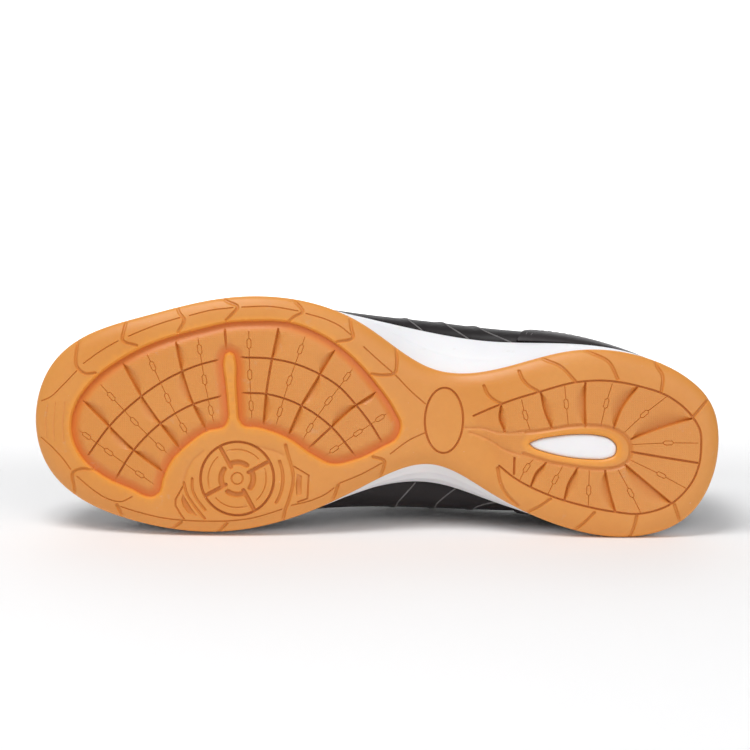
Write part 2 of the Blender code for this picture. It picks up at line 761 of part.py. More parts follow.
class Last:
    """Shape of the upper's outside, as ribs that run from the lasted edge to the instep."""

    def __init__(self):
        dense = [DENSE_STEPS] * (2 * len(SOLE_ROWS) - 2)
        self.foot_line = closed_spline(row_loop(LAST_ROWS), dense)
        self.wide_line = closed_spline(row_loop(WIDE_ROWS), dense)

    def middle(self, along):
        """Point in plan on the middle line of the instep."""
        return place(along, follow(RIDGE_ROWS, 2, along))

    def rib(self, along, direction):
        """One rib: its centre, direction, foot and widest reach, and its heights."""
        centre = self.middle(along)
        foot = reach(self.foot_line, centre, direction) - FOOT_INSET
        wide = reach(self.wide_line, centre, direction)
        foot_x = centre[0] + direction[0] * foot
        base = float(feather_height(foot_x)) + FIT
        return {
            "centre": centre,
            "direction": direction,
            "foot": foot,
            "wide": wide,
            "base": base,
            "top": follow(RIDGE_ROWS, 1, along) * INSTEP_HEIGHT,
            "along": share_along(foot_x),
            "section": along,
        }

    def point(self, rib, turn):
        """Point on a rib: -90 degrees at the foot, 0 where it is widest, 90 on the ridge."""
        level_wide = rib["base"] + FOOT_BULGE
        if turn < 0.0:
            shape = math.cos(math.radians(turn))
            distance = rib["foot"] + (rib["wide"] - rib["foot"]) * shape
            height = level_wide + FOOT_BULGE * math.sin(math.radians(turn))
        else:
            full = follow(COLLAR_ROWS, 2, rib["along"])
            distance = rib["wide"] * max(math.cos(math.radians(turn)), 0.0) ** full
            height = level_wide + (rib["top"] - level_wide) * math.sin(math.radians(turn))
        plan = rib["centre"] + rib["direction"] * distance
        return Vector((plan[0], plan[1], height))

    def turn_at(self, rib, distance):
        """Turn on a rib where it has come within a distance of the middle line."""
        full = follow(COLLAR_ROWS, 2, rib["along"])
        share = min(distance / rib["wide"], 1.0)
        return math.degrees(math.acos(share ** (1.0 / full)))

    def turn_up_to(self, rib, height):
        """Turn on a rib where it has risen to a height."""
        level_wide = rib["base"] + FOOT_BULGE
        rise = (height - level_wide) / (rib["top"] - level_wide)
        return math.degrees(math.asin(min(rise, 1.0)))

    def above(self, along, across, offset):
        """Point at a distance over the surface, at a distance from the middle line."""
        side = np.array([0.0, math.copysign(1.0, across)])
        near = 0.002
        swing = 2.0
        here, ahead = (self.rib(place_along, side) for place_along in (along, along + near))
        turn = min(self.turn_at(here, abs(across)), 90.0 - near)
        point = self.point(here, turn)
        forward = self.point(ahead, turn) - point
        upward = self.point(here, turn + swing) - self.point(here, turn - swing)
        outward = forward.cross(upward).normalized() * math.copysign(1.0, -across)
        return point - outward * offset, outward

    def edge_turn(self, rib):
        """Where a rib ends: at the collar, at the throat's edge, or on the ridge."""
        if rib["section"] >= THROAT_FRONT:
            return 90.0
        turn = self.turn_up_to(rib, follow(COLLAR_ROWS, 1, rib["along"]) * HEEL_HEIGHT)
        return min(turn, self.turn_at(rib, throat_half(rib["section"])))


def throat_half(along):
    """Half the width of the throat, round at its front end."""
    t = max(along - THROAT_ROUND, 0.0) / (THROAT_FRONT - THROAT_ROUND)
    return THROAT_WIDTH / 2 * math.sqrt(max(1.0 - t * t, 0.0))


def all_ribs(last):
    """Ribs around the foot: outer side, toe, inner side, heel."""
    outer = np.array([0.0, -1.0])
    inner = np.array([0.0, 1.0])
    ribs = [last.rib(along, outer) for along in SECTION_PLACES]
    for turn in range(1, TOE_TURNS):
        angle = math.radians(-90.0 - 180.0 * turn / TOE_TURNS)
        ribs.append(last.rib(SECTION_PLACES[-1], np.array([math.cos(angle), math.sin(angle)])))
    ribs += [last.rib(along, inner) for along in SECTION_PLACES[::-1]]
    for turn in range(1, HEEL_TURNS):
        angle = math.radians(90.0 - 180.0 * turn / HEEL_TURNS)
        ribs.append(last.rib(SECTION_PLACES[0], np.array([math.cos(angle), math.sin(angle)])))
    return ribs


def upper(collection, last):
    """Hollow upper: walls from the turned-in margin to the collar, throat and ridge."""
    work = bmesh.new()
    columns = []
    ridge_points = {}
    for rib in all_ribs(last):
        end = last.edge_turn(rib)
        margin_plan = rib["centre"] + rib["direction"] * (rib["foot"] - MARGIN)
        margin = Vector((*margin_plan, float(feather_height(margin_plan[0])) + FIT))
        points = [margin, last.point(rib, -90.0), last.point(rib, BULGE_TURN)]
        points += [last.point(rib, end * row / PROFILE_ROWS) for row in range(PROFILE_ROWS)]
        column = [work.verts.new(point) for point in points]
        if end < 90.0:
            column.append(work.verts.new(last.point(rib, end)))
        else:
            key = rib["section"]
            if key not in ridge_points:
                ridge_points[key] = work.verts.new(last.point(rib, 90.0))
            column.append(ridge_points[key])
        columns.append(column)
    join_columns(work, columns + columns[:1])
    thing = new_object("upper", finish_mesh(work, "upper"), collection)
    add_wall(thing, UPPER_WALL, -1.0)
    return thing


def join_columns(work, columns):
    """Faces between neighbouring columns of vertices, looking outwards."""
    for column, following in zip(columns, columns[1:]):
        for row in range(len(column) - 1):
            corners = [column[row], column[row + 1], following[row + 1], following[row]]
            unique = [vertex for i, vertex in enumerate(corners) if vertex not in corners[:i]]
            work.faces.new(unique)


def overlay(name, columns, offset, thickness, side, collection):
    """Sheet that follows the upper's surface at an offset, from columns of points."""
    work = bmesh.new()
    grid = [[work.verts.new(point) for point in column] for column in columns]
    join_columns(work, grid)
    bmesh.ops.remove_doubles(work, verts=work.verts, dist=WELD)
    work.normal_update()
    for vertex in work.verts:
        vertex.co += vertex.normal * offset
    thing = new_object(name, finish_mesh(work, name), collection)
    add_wall(thing, thickness, side)
    return thing


def tongue(collection, last):
    """Padded tongue under the throat, a little wider than it, rising past the collar."""
    sections = [TONGUE_TOP + (TONGUE_END - TONGUE_TOP) * number / (TONGUE_SECTIONS - 1)
                for number in range(TONGUE_SECTIONS)]
    columns = []
    for along in sections:
        outer, inner = (last.rib(along, np.array([0.0, side])) for side in (-1.0, 1.0))
        narrow = 1.0 - TONGUE_TAPER * smooth_step(along, TONGUE_TAPER_BACK, TONGUE_END)
        column = []
        for rib, shares in ((outer, TONGUE_SHARES), (inner, TONGUE_SHARES[-2::-1])):
            low = last.turn_at(rib, narrow * TONGUE_WIDTH / 2)
            column += [last.point(rib, low + (90.0 - low) * share) for share in shares]
        columns.append(column)
    return overlay("tongue", columns, -(UPPER_WALL + TONGUE_GAP), TONGUE_THICKNESS, -1.0,
                   collection)


def eyestay(collection, last):
    """Overlay round the throat that carries the eyelets, in one piece."""
    sections = [along for along in SECTION_PLACES if THROAT_BACK <= along < EYESTAY_FRONT]
    columns = []
    for side, places in ((-1.0, sections), (1.0, sections[::-1])):
        for along in places:
            rib = last.rib(along, np.array([0.0, side]))
            t = max(along - EYESTAY_ROUND, 0.0) / (EYESTAY_FRONT - EYESTAY_ROUND)
            reach_out = (THROAT_WIDTH / 2 + EYESTAY_WIDTH) * math.sqrt(1.0 - t * t)
            low = last.turn_at(rib, reach_out)
            high = 90.0
            if along < THROAT_FRONT:
                high = last.turn_at(rib, throat_half(along) + EYESTAY_EDGE)
                high = min(high, last.edge_turn(rib) - STAY_EDGE_TURN)
            columns.append([last.point(rib, low + (high - low) * row / EYESTAY_ROWS)
                            for row in range(EYESTAY_ROWS + 1)])
    return overlay("eyestay", columns, OVERLAY_GAP, OVERLAY_WALL, 1.0, collection)


def heel_counter(collection, last):
    """Overlay that cups the heel, lowest at its two ends."""
    outer = np.array([0.0, -1.0])
    inner = np.array([0.0, 1.0])
    ribs = [last.rib(along, inner) for along in COUNTER_PLACES[::-1]]
    for turn in range(1, HEEL_TURNS):
        angle = math.radians(90.0 - 180.0 * turn / HEEL_TURNS)
        ribs.append(last.rib(COUNTER_PLACES[0], np.array([math.cos(angle), math.sin(angle)])))
    ribs += [last.rib(along, outer) for along in COUNTER_PLACES]
    columns = []
    for rib in ribs:
        fall = (rib["along"] / COUNTER_PLACES[-1]) ** 2 * COUNTER_SLOPE
        high = last.turn_up_to(rib, COUNTER_HEIGHT * (1.0 - fall))
        columns.append([last.point(rib, turn)
                        for turn in (COUNTER_TURN, BULGE_TURN, high / 2, high)])
    return overlay("heel_counter", columns, OVERLAY_GAP, OVERLAY_WALL, 1.0, collection)


def eyelet_places():
    """Places along the throat of the eyelet pairs, from the front to the top."""
    step = (EYELETS_BACK - EYELETS_FRONT) / (EYELET_PAIRS - 1)
    return [EYELETS_FRONT + step * pair for pair in range(EYELET_PAIRS)]


def punch_eyelets(things, last, cutters):
    """Bores the eyelets through the eyestay and the upper."""
    work = bmesh.new()
    depth = 2 * UPPER_WALL + TONGUE_GAP
    for along in eyelet_places():
        for side in (-1.0, 1.0):
            across = side * (throat_half(along) + EYELET_EDGE)
            point, outward = last.above(along, across, OVERLAY_WALL)
            turn = Vector((0.0, 0.0, 1.0)).rotation_difference(outward).to_matrix().to_4x4()
            bmesh.ops.create_cone(work, cap_ends=True, segments=EYELET_SIDES,
                                  radius1=EYELET_BORE / 2, radius2=EYELET_BORE / 2,
                                  depth=depth, matrix=Matrix.Translation(point) @ turn)
    bores = add_cutter("cut_eyelets", work, cutters)
    for thing in things:
        cut(thing, bores)


def lace(collection, cutters, last):
    """Crossed lace over the throat, joined where its runs meet, ending at the top eyelets."""
    places = eyelet_places()
    ends = [(places[0], places[0], 1.0)]
    for low, high in zip(places, places[1:]):
        ends += [(low, high, 1.0), (low, high, -1.0)]
    over_stay = OVERLAY_GAP + OVERLAY_WALL + 2 * FIT + LACE_THICKNESS / 2
    over_tongue = FIT + LACE_THICKNESS / 2 - UPPER_WALL - TONGUE_GAP
    bars = []
    for start, finish, side in ends:
        curve = bpy.data.curves.new("lace_run", "CURVE")
        curve.dimensions = "3D"
        curve.bevel_depth = LACE_THICKNESS / 2
        curve.bevel_resolution = 0
        curve.use_fill_caps = True
        spline = curve.splines.new("POLY")
        spline.points.add(len(LACE_SHARES) - 1)
        for share, point in zip(LACE_SHARES, spline.points):
            along = start + (finish - start) * (share + 1.0) / 2
            across = side * share * (throat_half(along) + EYELET_EDGE)
            rise = smooth_step(abs(across), LACE_DROP, THROAT_WIDTH / 2 - EYESTAY_EDGE)
            height = over_tongue + (over_stay - over_tongue) * float(rise)
            across = across if abs(across) > MM else MM
            point.co = (*last.above(along, across, height)[0], 1.0)
        run = bpy.data.objects.new("lace_run", curve)
        cutters.objects.link(run)
        bpy.context.view_layer.update()
        mesh = bpy.data.meshes.new_from_object(run.evaluated_get(
            bpy.context.evaluated_depsgraph_get()))
        bpy.data.objects.remove(run, do_unlink=True)
        work = bmesh.new()
        work.from_mesh(mesh)
        bmesh.ops.remove_doubles(work, verts=work.verts, dist=WELD)
        bars.append(work)
    thing = new_object("lace", finish_mesh(bars[0], "lace"), collection)
    for number, work in enumerate(bars[1:]):
        cut(thing, add_cutter(f"lace_run_{number + 1}", work, cutters), "UNION")
    return thing


def add_wall(thing, thickness, side):
    """Gives an open surface its wall, inwards for a side of -1 and outwards for 1."""
    modifier = thing.modifiers.new("wall", "SOLIDIFY")
    modifier.thickness = thickness
    modifier.offset = side
    modifier.use_even_offset = True
    bpy.context.view_layer.update()
    evaluated = thing.evaluated_get(bpy.context.evaluated_depsgraph_get())
    mesh = bpy.data.meshes.new_from_object(evaluated)
    thing.modifiers.clear()
    thing.data = mesh


def laid_down(things, parent):
    """Turns the parent so that the inner side of the shoe bears on the floor."""
    points = []
    moment = Vector((0.0, 0.0, 0.0))
    volume = 0.0
    for thing in things:
        mesh = thing.data
        mesh.calc_loop_triangles()
        points += [vertex.co.copy() for vertex in mesh.vertices]
        for triangle in mesh.loop_triangles:
            a, b, c = (mesh.vertices[i].co for i in triangle.vertices)
            part = a.dot(b.cross(c)) / 6.0
            volume += part
            moment += part * (a + b + c) / 4.0
    centre = moment / volume
    hull = bmesh.new()
    for point in points:
        hull.verts.new(point)
    bmesh.ops.convex_hull(hull, input=hull.verts)
    bmesh.ops.recalc_face_normals(hull, faces=hull.faces)
    down = None
    for face in hull.faces:
        corners = [vertex.co for vertex in face.verts[:3]]
        if face.normal.y > SIDE_FACING and intersect_ray_tri(*corners, face.normal, centre, True):
            down = face.normal.copy()
    hull.free()
    quarter = Matrix.Rotation(math.radians(-90.0), 3, "X")
    settle = (quarter @ down).rotation_difference(Vector((0.0, 0.0, -1.0))).to_matrix()
    turn = settle @ quarter
    turned = np.array([turn @ point for point in points])
    low = turned.min(axis=0)
    high = turned.max(axis=0)
    parent.rotation_mode = "QUATERNION"
    parent.rotation_quaternion = turn.to_quaternion()
    parent.location = (-(low[0] + high[0]) / 2, -(low[1] + high[1]) / 2, -low[2])


def main():
    """Builds the shoe standing and lays it on its side."""
    for thing in list(bpy.data.objects):
        bpy.data.objects.remove(thing, do_unlink=True)
    shoe = bpy.data.collections.new("indoor_soccer_shoe")
    cutters = bpy.data.collections.new("cutters")
    for collection in (shoe, cutters):
        bpy.context.scene.collection.children.link(collection)
    last = Last()
    sole = [outsole(shoe, cutters), midsole(shoe), insole(shoe)]
    shell = upper(shoe, last)
    pad = tongue(shoe, last)
    stay = eyestay(shoe, last)
    counter = heel_counter(shoe, last)
    punch_eyelets([shell, stay], last, cutters)
    things = [*sole, shell, pad, stay, counter, lace(shoe, cutters, last)]
    parent = bpy.data.objects.new("shoe_lying", None)
    shoe.objects.link(parent)
    for thing in things:
        thing.parent = parent
    laid_down(things, parent)


main()
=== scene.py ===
import json
import math

import bmesh
import bpy
import numpy as np
from mathutils import Matrix, Vector
from mathutils.bvhtree import BVHTree
from mathutils.geometry import delaunay_2d_cdt


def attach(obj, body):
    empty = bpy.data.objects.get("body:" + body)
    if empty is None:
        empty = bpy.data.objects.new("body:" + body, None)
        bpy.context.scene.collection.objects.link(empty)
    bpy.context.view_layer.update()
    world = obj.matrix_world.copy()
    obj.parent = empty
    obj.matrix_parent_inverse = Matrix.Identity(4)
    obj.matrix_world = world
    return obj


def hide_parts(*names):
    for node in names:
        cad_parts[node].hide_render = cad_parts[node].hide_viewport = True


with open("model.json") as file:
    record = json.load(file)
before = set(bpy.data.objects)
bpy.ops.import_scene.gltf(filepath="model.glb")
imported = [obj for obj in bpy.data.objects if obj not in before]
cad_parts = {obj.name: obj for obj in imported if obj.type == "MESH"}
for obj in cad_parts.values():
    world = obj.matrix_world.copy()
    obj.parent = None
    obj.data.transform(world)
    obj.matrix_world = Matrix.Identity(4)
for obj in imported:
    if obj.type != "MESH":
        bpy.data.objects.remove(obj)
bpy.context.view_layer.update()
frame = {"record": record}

bl_info = {
    "name": "Indoor soccer shoe",
    "version": (1, 0, 0),
    "blender": (4, 5, 0),
    "location": "3D View > Sidebar > Shoe",
    "description": "Dresses the left indoor soccer shoe and sets it on a studio floor",
    "category": "Add Mesh",
}

MM = 0.001

# Sizes that the shoe's solids have too
SOLE_LENGTH = 294.0 * MM
BALL_WIDTH = 100.0 * MM
TOE_SPRING = 10.0 * MM
ARCH_LIFT = 5.0 * MM
PLATE = 5.0 * MM
LIP = 1.8 * MM
CUP_WALL = 2.2 * MM
BEVEL_WIDTH = 8.0 * MM
BEVEL_RISE = 2.6 * MM
HEEL_STACK = 23.0 * MM
WAIST_STACK = 22.0 * MM
BALL_STACK = 17.0 * MM
TOE_STACK = 16.0 * MM
BUMPER_DROP = 1.5 * MM
SILL = 0.6 * MM
WALL_LEAN = 0.12
FOAM_FLARE = 0.55
BUMPER_BACK = 0.885
BUMPER_FRONT = 0.965
PIVOT_PLACE = (0.700, 0.227)
PIVOT_RADIUS = 15.7 * MM
OVAL_PLACE = (0.401, -0.045)
OVAL_LENGTH = 16.4 * MM
OVAL_WIDTH = 28.0 * MM
UPPER_WALL = 2.0 * MM
MARGIN = 9.0 * MM
FOOT_INSET = 1.2 * MM
FOOT_BULGE = 10.0 * MM
THROAT_WIDTH = 34.0 * MM
INSTEP_HEIGHT = 112.0 * MM
HEEL_HEIGHT = 78.0 * MM
TONGUE_WIDTH = 58.0 * MM
TONGUE_THICKNESS = 4.0 * MM
TONGUE_GAP = 1.3 * MM
OVERLAY_WALL = 0.9 * MM
OVERLAY_GAP = 0.35 * MM
EYESTAY_WIDTH = 18.0 * MM
EYESTAY_EDGE = 1.0 * MM
COUNTER_HEIGHT = 50.0 * MM
EYELET_EDGE = 8.0 * MM
FIT = 0.3 * MM
WELD = 0.01 * MM
FINE_WELD = 0.004 * MM
ON_EDGE = 0.001 * MM

# Place of the record's mount on the heel's tread
HEEL_TREAD = (0.08, 0.045)

# Thickness from the outsole's underside to the midsole's top: along, thickness
STACK_ROWS = [(0.20, HEEL_STACK), (0.45, WAIST_STACK), (0.70, BALL_STACK), (0.95, TOE_STACK)]

# Outlines: along (share of SOLE_LENGTH from the heel), then the reach to the outer and to
# the inner side (shares of BALL_WIDTH). They run from heel to toe.
SOLE_ROWS = [
    (0.000, 0.020, 0.020), (0.010, -0.135, 0.188), (0.045, -0.249, 0.344),
    (0.120, -0.345, 0.429), (0.220, -0.356, 0.398), (0.330, -0.267, 0.260),
    (0.420, -0.265, 0.144), (0.520, -0.442, 0.252), (0.620, -0.545, 0.390),
    (0.730, -0.542, 0.457), (0.840, -0.460, 0.426), (0.930, -0.364, 0.332),
    (0.980, -0.230, 0.197), (1.000, -0.010, -0.010),
]
LAST_ROWS = [
    (0.012, 0.018, 0.018), (0.024, -0.140, 0.180), (0.057, -0.255, 0.318),
    (0.120, -0.350, 0.392), (0.220, -0.392, 0.378), (0.330, -0.396, 0.300),
    (0.420, -0.428, 0.232), (0.520, -0.480, 0.272), (0.620, -0.522, 0.374),
    (0.730, -0.520, 0.436), (0.840, -0.438, 0.404), (0.921, -0.340, 0.309),
    (0.966, -0.215, 0.184), (0.985, -0.010, -0.010),
]

# Lift of the sole off the floor: along, share of ARCH_LIFT, share of TOE_SPRING
LIFT_ROWS = [
    (0.00, 0.00, 0.00), (0.23, 0.00, 0.00), (0.29, 0.28, 0.00), (0.35, 0.80, 0.00),
    (0.41, 1.00, 0.00), (0.47, 0.80, 0.00), (0.53, 0.28, 0.00), (0.59, 0.00, 0.00),
    (0.74, 0.00, 0.00), (0.79, 0.00, 0.05), (0.84, 0.00, 0.16), (0.89, 0.00, 0.35),
    (0.94, 0.00, 0.61), (1.00, 0.00, 1.00),
]

# Lines of the tread, in thousandths of the same shares: along and across. The field under
# the forefoot is sunk.
FIELD = [
    (946, -26), (939, -86), (911, -195), (875, -275), (832, -343), (793, -385), (754, -418),
    (722, -442), (683, -453), (628, -449), (575, -389), (541, -319), (500, -194), (473, -85),
    (463, -20), (469, 40), (491, 82), (529, 137), (563, 157), (592, 120), (628, 53), (673, 10),
    (694, 3), (700.5, -22), (703.5, -83), (706.5, -180), (709, -285), (711.5, -303), (716, -310),
    (720.5, -303), (722.5, -285), (719.5, -180), (715.5, -83), (714.5, -30), (718.5, 3),
    (746, 32), (774, 93), (794, 155), (807, 235), (813, 300), (820, 316), (859, 284), (897, 236),
    (927, 168), (944, 83),
]
FIELD_ARCS = [
    [(919, 143), (890, 21), (850, -97), (809, -186), (756, -259), (733, -278)],
    [(700, -292), (654, -289), (620, -270), (585, -230), (555, -176), (530, -101), (509, -26),
     (491, 54)],
    [(878, 243), (853, 121), (814, 0), (766, -87), (727, -124)],
    [(697, -140), (661, -138), (609, -91), (565, -4), (529, 117)],
]
# Rays across the field: the side that each of the three crescents beside it leans to
# (1 towards the heel, -1 towards the toe), then its points at the rim, the arcs and the end
FIELD_RAYS = [
    ((1, -1, 1), [(929, -87), (889, 21), (852, 119), (807, 212)]),
    ((1, -1, 1), [(872, -254), (844, -117), (814, 2), (784, 111)]),
    ((1, -1, 1), [(795, -350), (785, -231), (767, -85), (747, 27)]),
    ((0,), [(724, -414), (721, -325)]),
    ((1, 0, 1), [(646, -420), (654, -289), (661, -140), (664, -10)]),
    ((-1, 1, 1), [(563, -334), (584, -226), (609, -95), (628, 39)]),
    ((1, -1, 0), [(501, -159), (529, -102), (565, -4), (597, 88)]),
]
FIELD_CHAINS = [
    [(935, 38), (910, 87), (868, 172), (820, 264)],
    [(906, -166), (869, -53), (833, 51), (797, 142)],
    [(838, -302), (816, -177), (793, -42), (770, 61)],
    [(763, -374), (756, -259), (746, -114), (736, -8)],
    [(689, -406), (687, -286), (684, -141), (681, -31)],
    [(607, -386), (620, -270), (635, -127), (646, 0)],
    [(536, -257), (555, -176), (585, -54), (607, 59)],
    [(482, -73), (507, -22), (545, 58), (575, 125)],
]
RIM_LINES = [
    [(991, -82), (980, -96), (960, -151), (940, -215)],
    [(930, -248), (903, -307), (880, -348)],
    [(864, -370), (840, -402), (811, -435), (790, -455)],
    [(776, -465), (745, -490), (713, -504)],
    [(700, -507), (659, -513), (618, -497)],
    [(606, -487), (580, -467), (556, -436), (540, -400)],
    [(521, -351), (497, -290), (474, -234), (450, -165), (429, -114)],
    [(990, 76), (971, 122), (955, 170), (945, 208)],
    [(935, 238), (911, 293), (890, 328), (868, 340), (853, 318)],
    [(869, 362), (840, 385), (808, 404), (777, 412), (743, 413), (707, 408), (670, 389),
     (649, 369), (634, 353)],
    [(620, 335), (609, 327), (588, 308), (569, 280), (559, 256)],
    [(552, 237), (516, 189), (490, 145)],
    [(478, 105), (450, 42), (428, 10)],
]
FIELD_NOTCHES = [
    [(940, -345), (937, -223), (928, -205), (912, -208)],
    [(868, -445), (871, -400), (873, -353), (852, -330)],
    [(796, -515), (791, -475), (784, -450), (792, -393)],
    [(738, -560), (722, -530), (706, -507), (714, -475), (722, -450)],
    [(634, -560), (621, -531), (611, -495), (624, -470), (632, -450)],
    [(543, -495), (540, -430), (537, -392), (560, -369)],
    [(474, -350), (472, -290), (475, -243), (492, -232), (509, -236)],
    [(937, 330), (939, 282), (941, 222), (928, 205), (912, 210)],
    [(862, 430), (867, 400), (875, 354)],
    [(806, 480), (794, 450), (780, 420)],
    [(732, 478), (723, 449), (713, 418)],
    [(632, 405), (630, 367), (624, 314), (619.5, 261), (618, 219), (621, 172), (627, 120),
     (631, 78)],
    [(566, 330), (560, 303), (553, 243)],
    [(492, 200), (487, 160), (486, 139), (503, 119)],
]
HEEL_NOTCHES = [
    [(344, -198), (337.5, -160), (328, -137), (319, -124)],
    [(293.5, -265), (288.5, -232), (279, -203), (266, -182)],
    [(272, -335), (254, -314), (235, -292), (212, -229)],
    [(200, -362), (188, -349), (164, -315), (150, -243)],
    [(97, -345), (94, -307), (85, -261), (86, -197)],
    [(10, -185), (21, -152), (38, -93)],
    [(63, 288), (55, 349), (52, 385)],
    [(117, 341), (121, 393), (128, 440)],
    [(179, 332), (192, 372), (212, 420)],
    [(243, 278), (258, 310), (285, 350)],
    [(321, 152), (316, 216), (308, 260), (290, 310)],
]
WINDOW = [
    (276, 46), (264, 25), (243, 11), (204, -3), (178, -1), (158, 15), (149, 44), (151, 83),
    (164, 101), (190, 105), (230, 94), (256, 77), (270, 62),
]
WINDOW_BORDER = [
    (282, -4), (274, -6), (243, -21), (219, -34), (192, -40), (159, -32), (139, -4), (130, 30),
    (128, 68), (131, 102), (139, 124), (164, 144), (190, 143), (222, 131), (248, 120),
    (270, 101), (284, 88),
]
HEEL_RING = [
    (358, -68), (335, -100), (300, -143), (264, -178), (212, -223), (173, -234), (120, -215),
    (72, -168), (41, -93), (28, -30), (26, 34), (28, 110), (37, 185), (52, 245), (68, 286),
    (90, 316), (115, 332), (150, 326), (188, 308), (247, 261), (300, 186), (319, 143),
]
HEEL_RAYS = [
    ((1,), [(318, -121), (320, -61), (312, -5)]),
    ((1,), [(261, -174), (255, -98), (244, -26)]),
    ((-1,), [(197, -222), (197, -141), (195, -36)]),
    ((-1,), [(120, -215), (143, -119), (154, -33)]),
    ((-1,), [(41, -82), (85, -40), (128, 12)]),
    ((0,), [(127, 68), (80, 88), (31, 107)]),
    ((-1,), [(136, 124), (102, 203), (68, 282)]),
    ((-1,), [(165, 152), (158, 240), (149, 322)]),
    ((1,), [(205, 143), (218, 212), (223, 281)]),
    ((1,), [(251, 125), (265, 169), (272, 225)]),
    ((0,), [(297, 107), (297, 176)]),
]
HEEL_CHAINS = [
    [(289, -142), (283, -78), (275, -10)],
    [(227, -209), (224, -130), (220, -34)],
    [(158, -221), (166, -137), (173, -41)],
    [(79, -171), (110, -96), (139, -13)],
    [(31, 22), (74, 25), (127, 36)],
    [(129, 102), (83, 163), (46, 218)],
    [(146, 146), (127, 243), (112, 324)],
    [(188, 150), (188, 237), (188, 306)],
    [(226, 133), (237, 195), (247, 257)],
    [(270, 113), (279, 148), (288, 199)],
]
# Soft lines that run from the oval to the heel's window
WAIST_LINES = [
    [(369, -16), (343, -16), (324, -2), (303, 0), (276, -12)],
    [(363, 3), (346, 18), (329, 41), (310, 74), (290, 92)],
]
# Pockets beside the turning disc, towards the toe and towards the heel
POCKETS = [
    [(779, 299), (781, 326), (778, 354), (770, 382), (756, 393), (765, 360), (774, 320)],
    [(614.5, 196), (605.5, 208), (605.5, 289), (613, 294.5), (615, 250)],
]
POCKET_FRAMES = [
    [(779, 268), (789, 324), (789, 350), (780, 392), (776, 405)],
    [(618, 169), (596, 205), (597, 305), (611, 320)],
]

# Curved bands beside the turning disc, towards the toe
DISC_BANDS = [
    [(777.6, 250), (773, 297), (761.5, 348), (746, 402)],
    [(765.5, 232), (765, 275), (757.5, 322), (745.5, 365)],
]
# Soft steps between the land round the field and the ground round the disc
PIVOT_STEPS = [
    [(750, 114), (765, 154), (773, 197), (777.6, 240)],
    [(672, 88), (658, 98), (644, 108), (634, 120)],
]

# Faint lines across the tip of the toe
TOE_LINES = [
    [(982, -65), (984, 8), (982, 80)],
    [(970, -75), (972, 8), (970, 90)],
    [(956, -80), (958, 8), (956, 92)],
]

# Turning disc: its spokes' turns in degrees, where they start and end, and its hub
DISC_SPOKES = (60.0, 150.0, 240.0, 330.0)
SPOKE_REACH = (5.6 * MM, 14.9 * MM)
HUB_RADIUS = 2.5 * MM
# Arcs after each spoke: kind of cut, radius, first and last turn from the spoke, points
DISC_ARCS = [
    ("trench", 6.9 * MM, 2.0, 64.0, 8), ("disc arc", 12.4 * MM, -163.0, -104.0, 8),
    ("faint arc", 12.6 * MM, 8.0, 40.0, 5),
]
# Arc beside the disc, towards the heel: radius, first and last turn
SIDE_ARC = (19.6 * MM, -24.0, 30.0)

# Corners of a chain's small link: along the chain and across it
LINK = [
    (2.3 * MM, 0.0), (1.5 * MM, 0.85 * MM), (-1.5 * MM, 0.85 * MM), (-2.3 * MM, 0.0),
    (-1.5 * MM, -0.85 * MM), (1.5 * MM, -0.85 * MM),
]

# Cross sections of the tread's lines: half the floor's width, the wall's width and the
# depth in millimetres, and how strongly painted shade darkens the line's colour
CUTS = {
    "arc": (0.16, 0.34, 1.00, 1.0),
    "ray": (0.16, 0.42, 0.95, 1.0),
    "link": (0.0, 0.20, 0.40, 1.0),
    "rim line": (0.08, 0.26, 0.50, 0.8),
    "notch": (0.22, 0.65, 0.85, 0.45),
    "band": (0.20, 0.50, 0.70, 0.6),
    "step": (0.10, 0.80, 0.40, 0.7),
    "ring": (0.16, 0.36, 0.85, 1.0),
    "window border": (0.30, 0.90, 0.60, 0.9),
    "waist line": (0.10, 0.80, 0.50, 0.7),
    "pocket frame": (0.12, 0.35, 0.60, 1.0),
    "toe line": (0.05, 0.35, 0.22, 1.0),
    "disc": (0.22, 0.40, 1.10, 1.0),
    "hub": (0.10, 0.40, 0.50, 1.0),
    "spoke": (0.55, 0.45, 0.90, 1.0),
    "trench": (0.70, 0.70, 1.00, 0.8),
    "disc arc": (0.05, 0.30, 0.40, 1.0),
    "faint arc": (0.05, 0.25, 0.25, 1.0),
    "side arc": (0.30, 0.50, 0.75, 0.6),
}
# Crescents and pockets, and how strongly painted shade darkens them and the grooves
CRESCENT_BULGE = 0.26
CRESCENT_DEPTH = 1.75 * MM
CRESCENT_SHADE = 0.42
POCKET_DEPTH = 0.9 * MM
POCKET_SHADE = 0.75
POCKET_SLOPE = 0.5 * MM
SHADE_DEPTH = 0.8 * MM

# How deep and how wide the moat and the rim are
FIELD_DEPTH = 0.6 * MM
MOAT_DEPTH = 1.9 * MM
MOAT_WALL = 0.7 * MM
MOAT_FLOOR = 1.5 * MM
MOAT_REACH = 4.6 * MM
FIELD_LAND = -0.5 * MM
RIM_CURVE = 2.2
RIM_ROUND = 0.6 * MM
RIM_ROUND_REACH = 1.2 * MM
WINDOW_LIP = 0.9 * MM
WINDOW_LIP_REACH = 1.3 * MM
WINDOW_LEVELS = (0.0, 0.5 * MM, 1.2 * MM)
WALL_START = 0.6 * MM
# Depth of the sunk field: distance inside its edge, depth
MOAT_ROWS = [
    (0.0, 0.0), (MOAT_WALL, MOAT_DEPTH), (MOAT_WALL + MOAT_FLOOR, 0.94 * MOAT_DEPTH),
    (3.3 * MM, 0.62 * MOAT_DEPTH), (MOAT_REACH, FIELD_DEPTH),
]
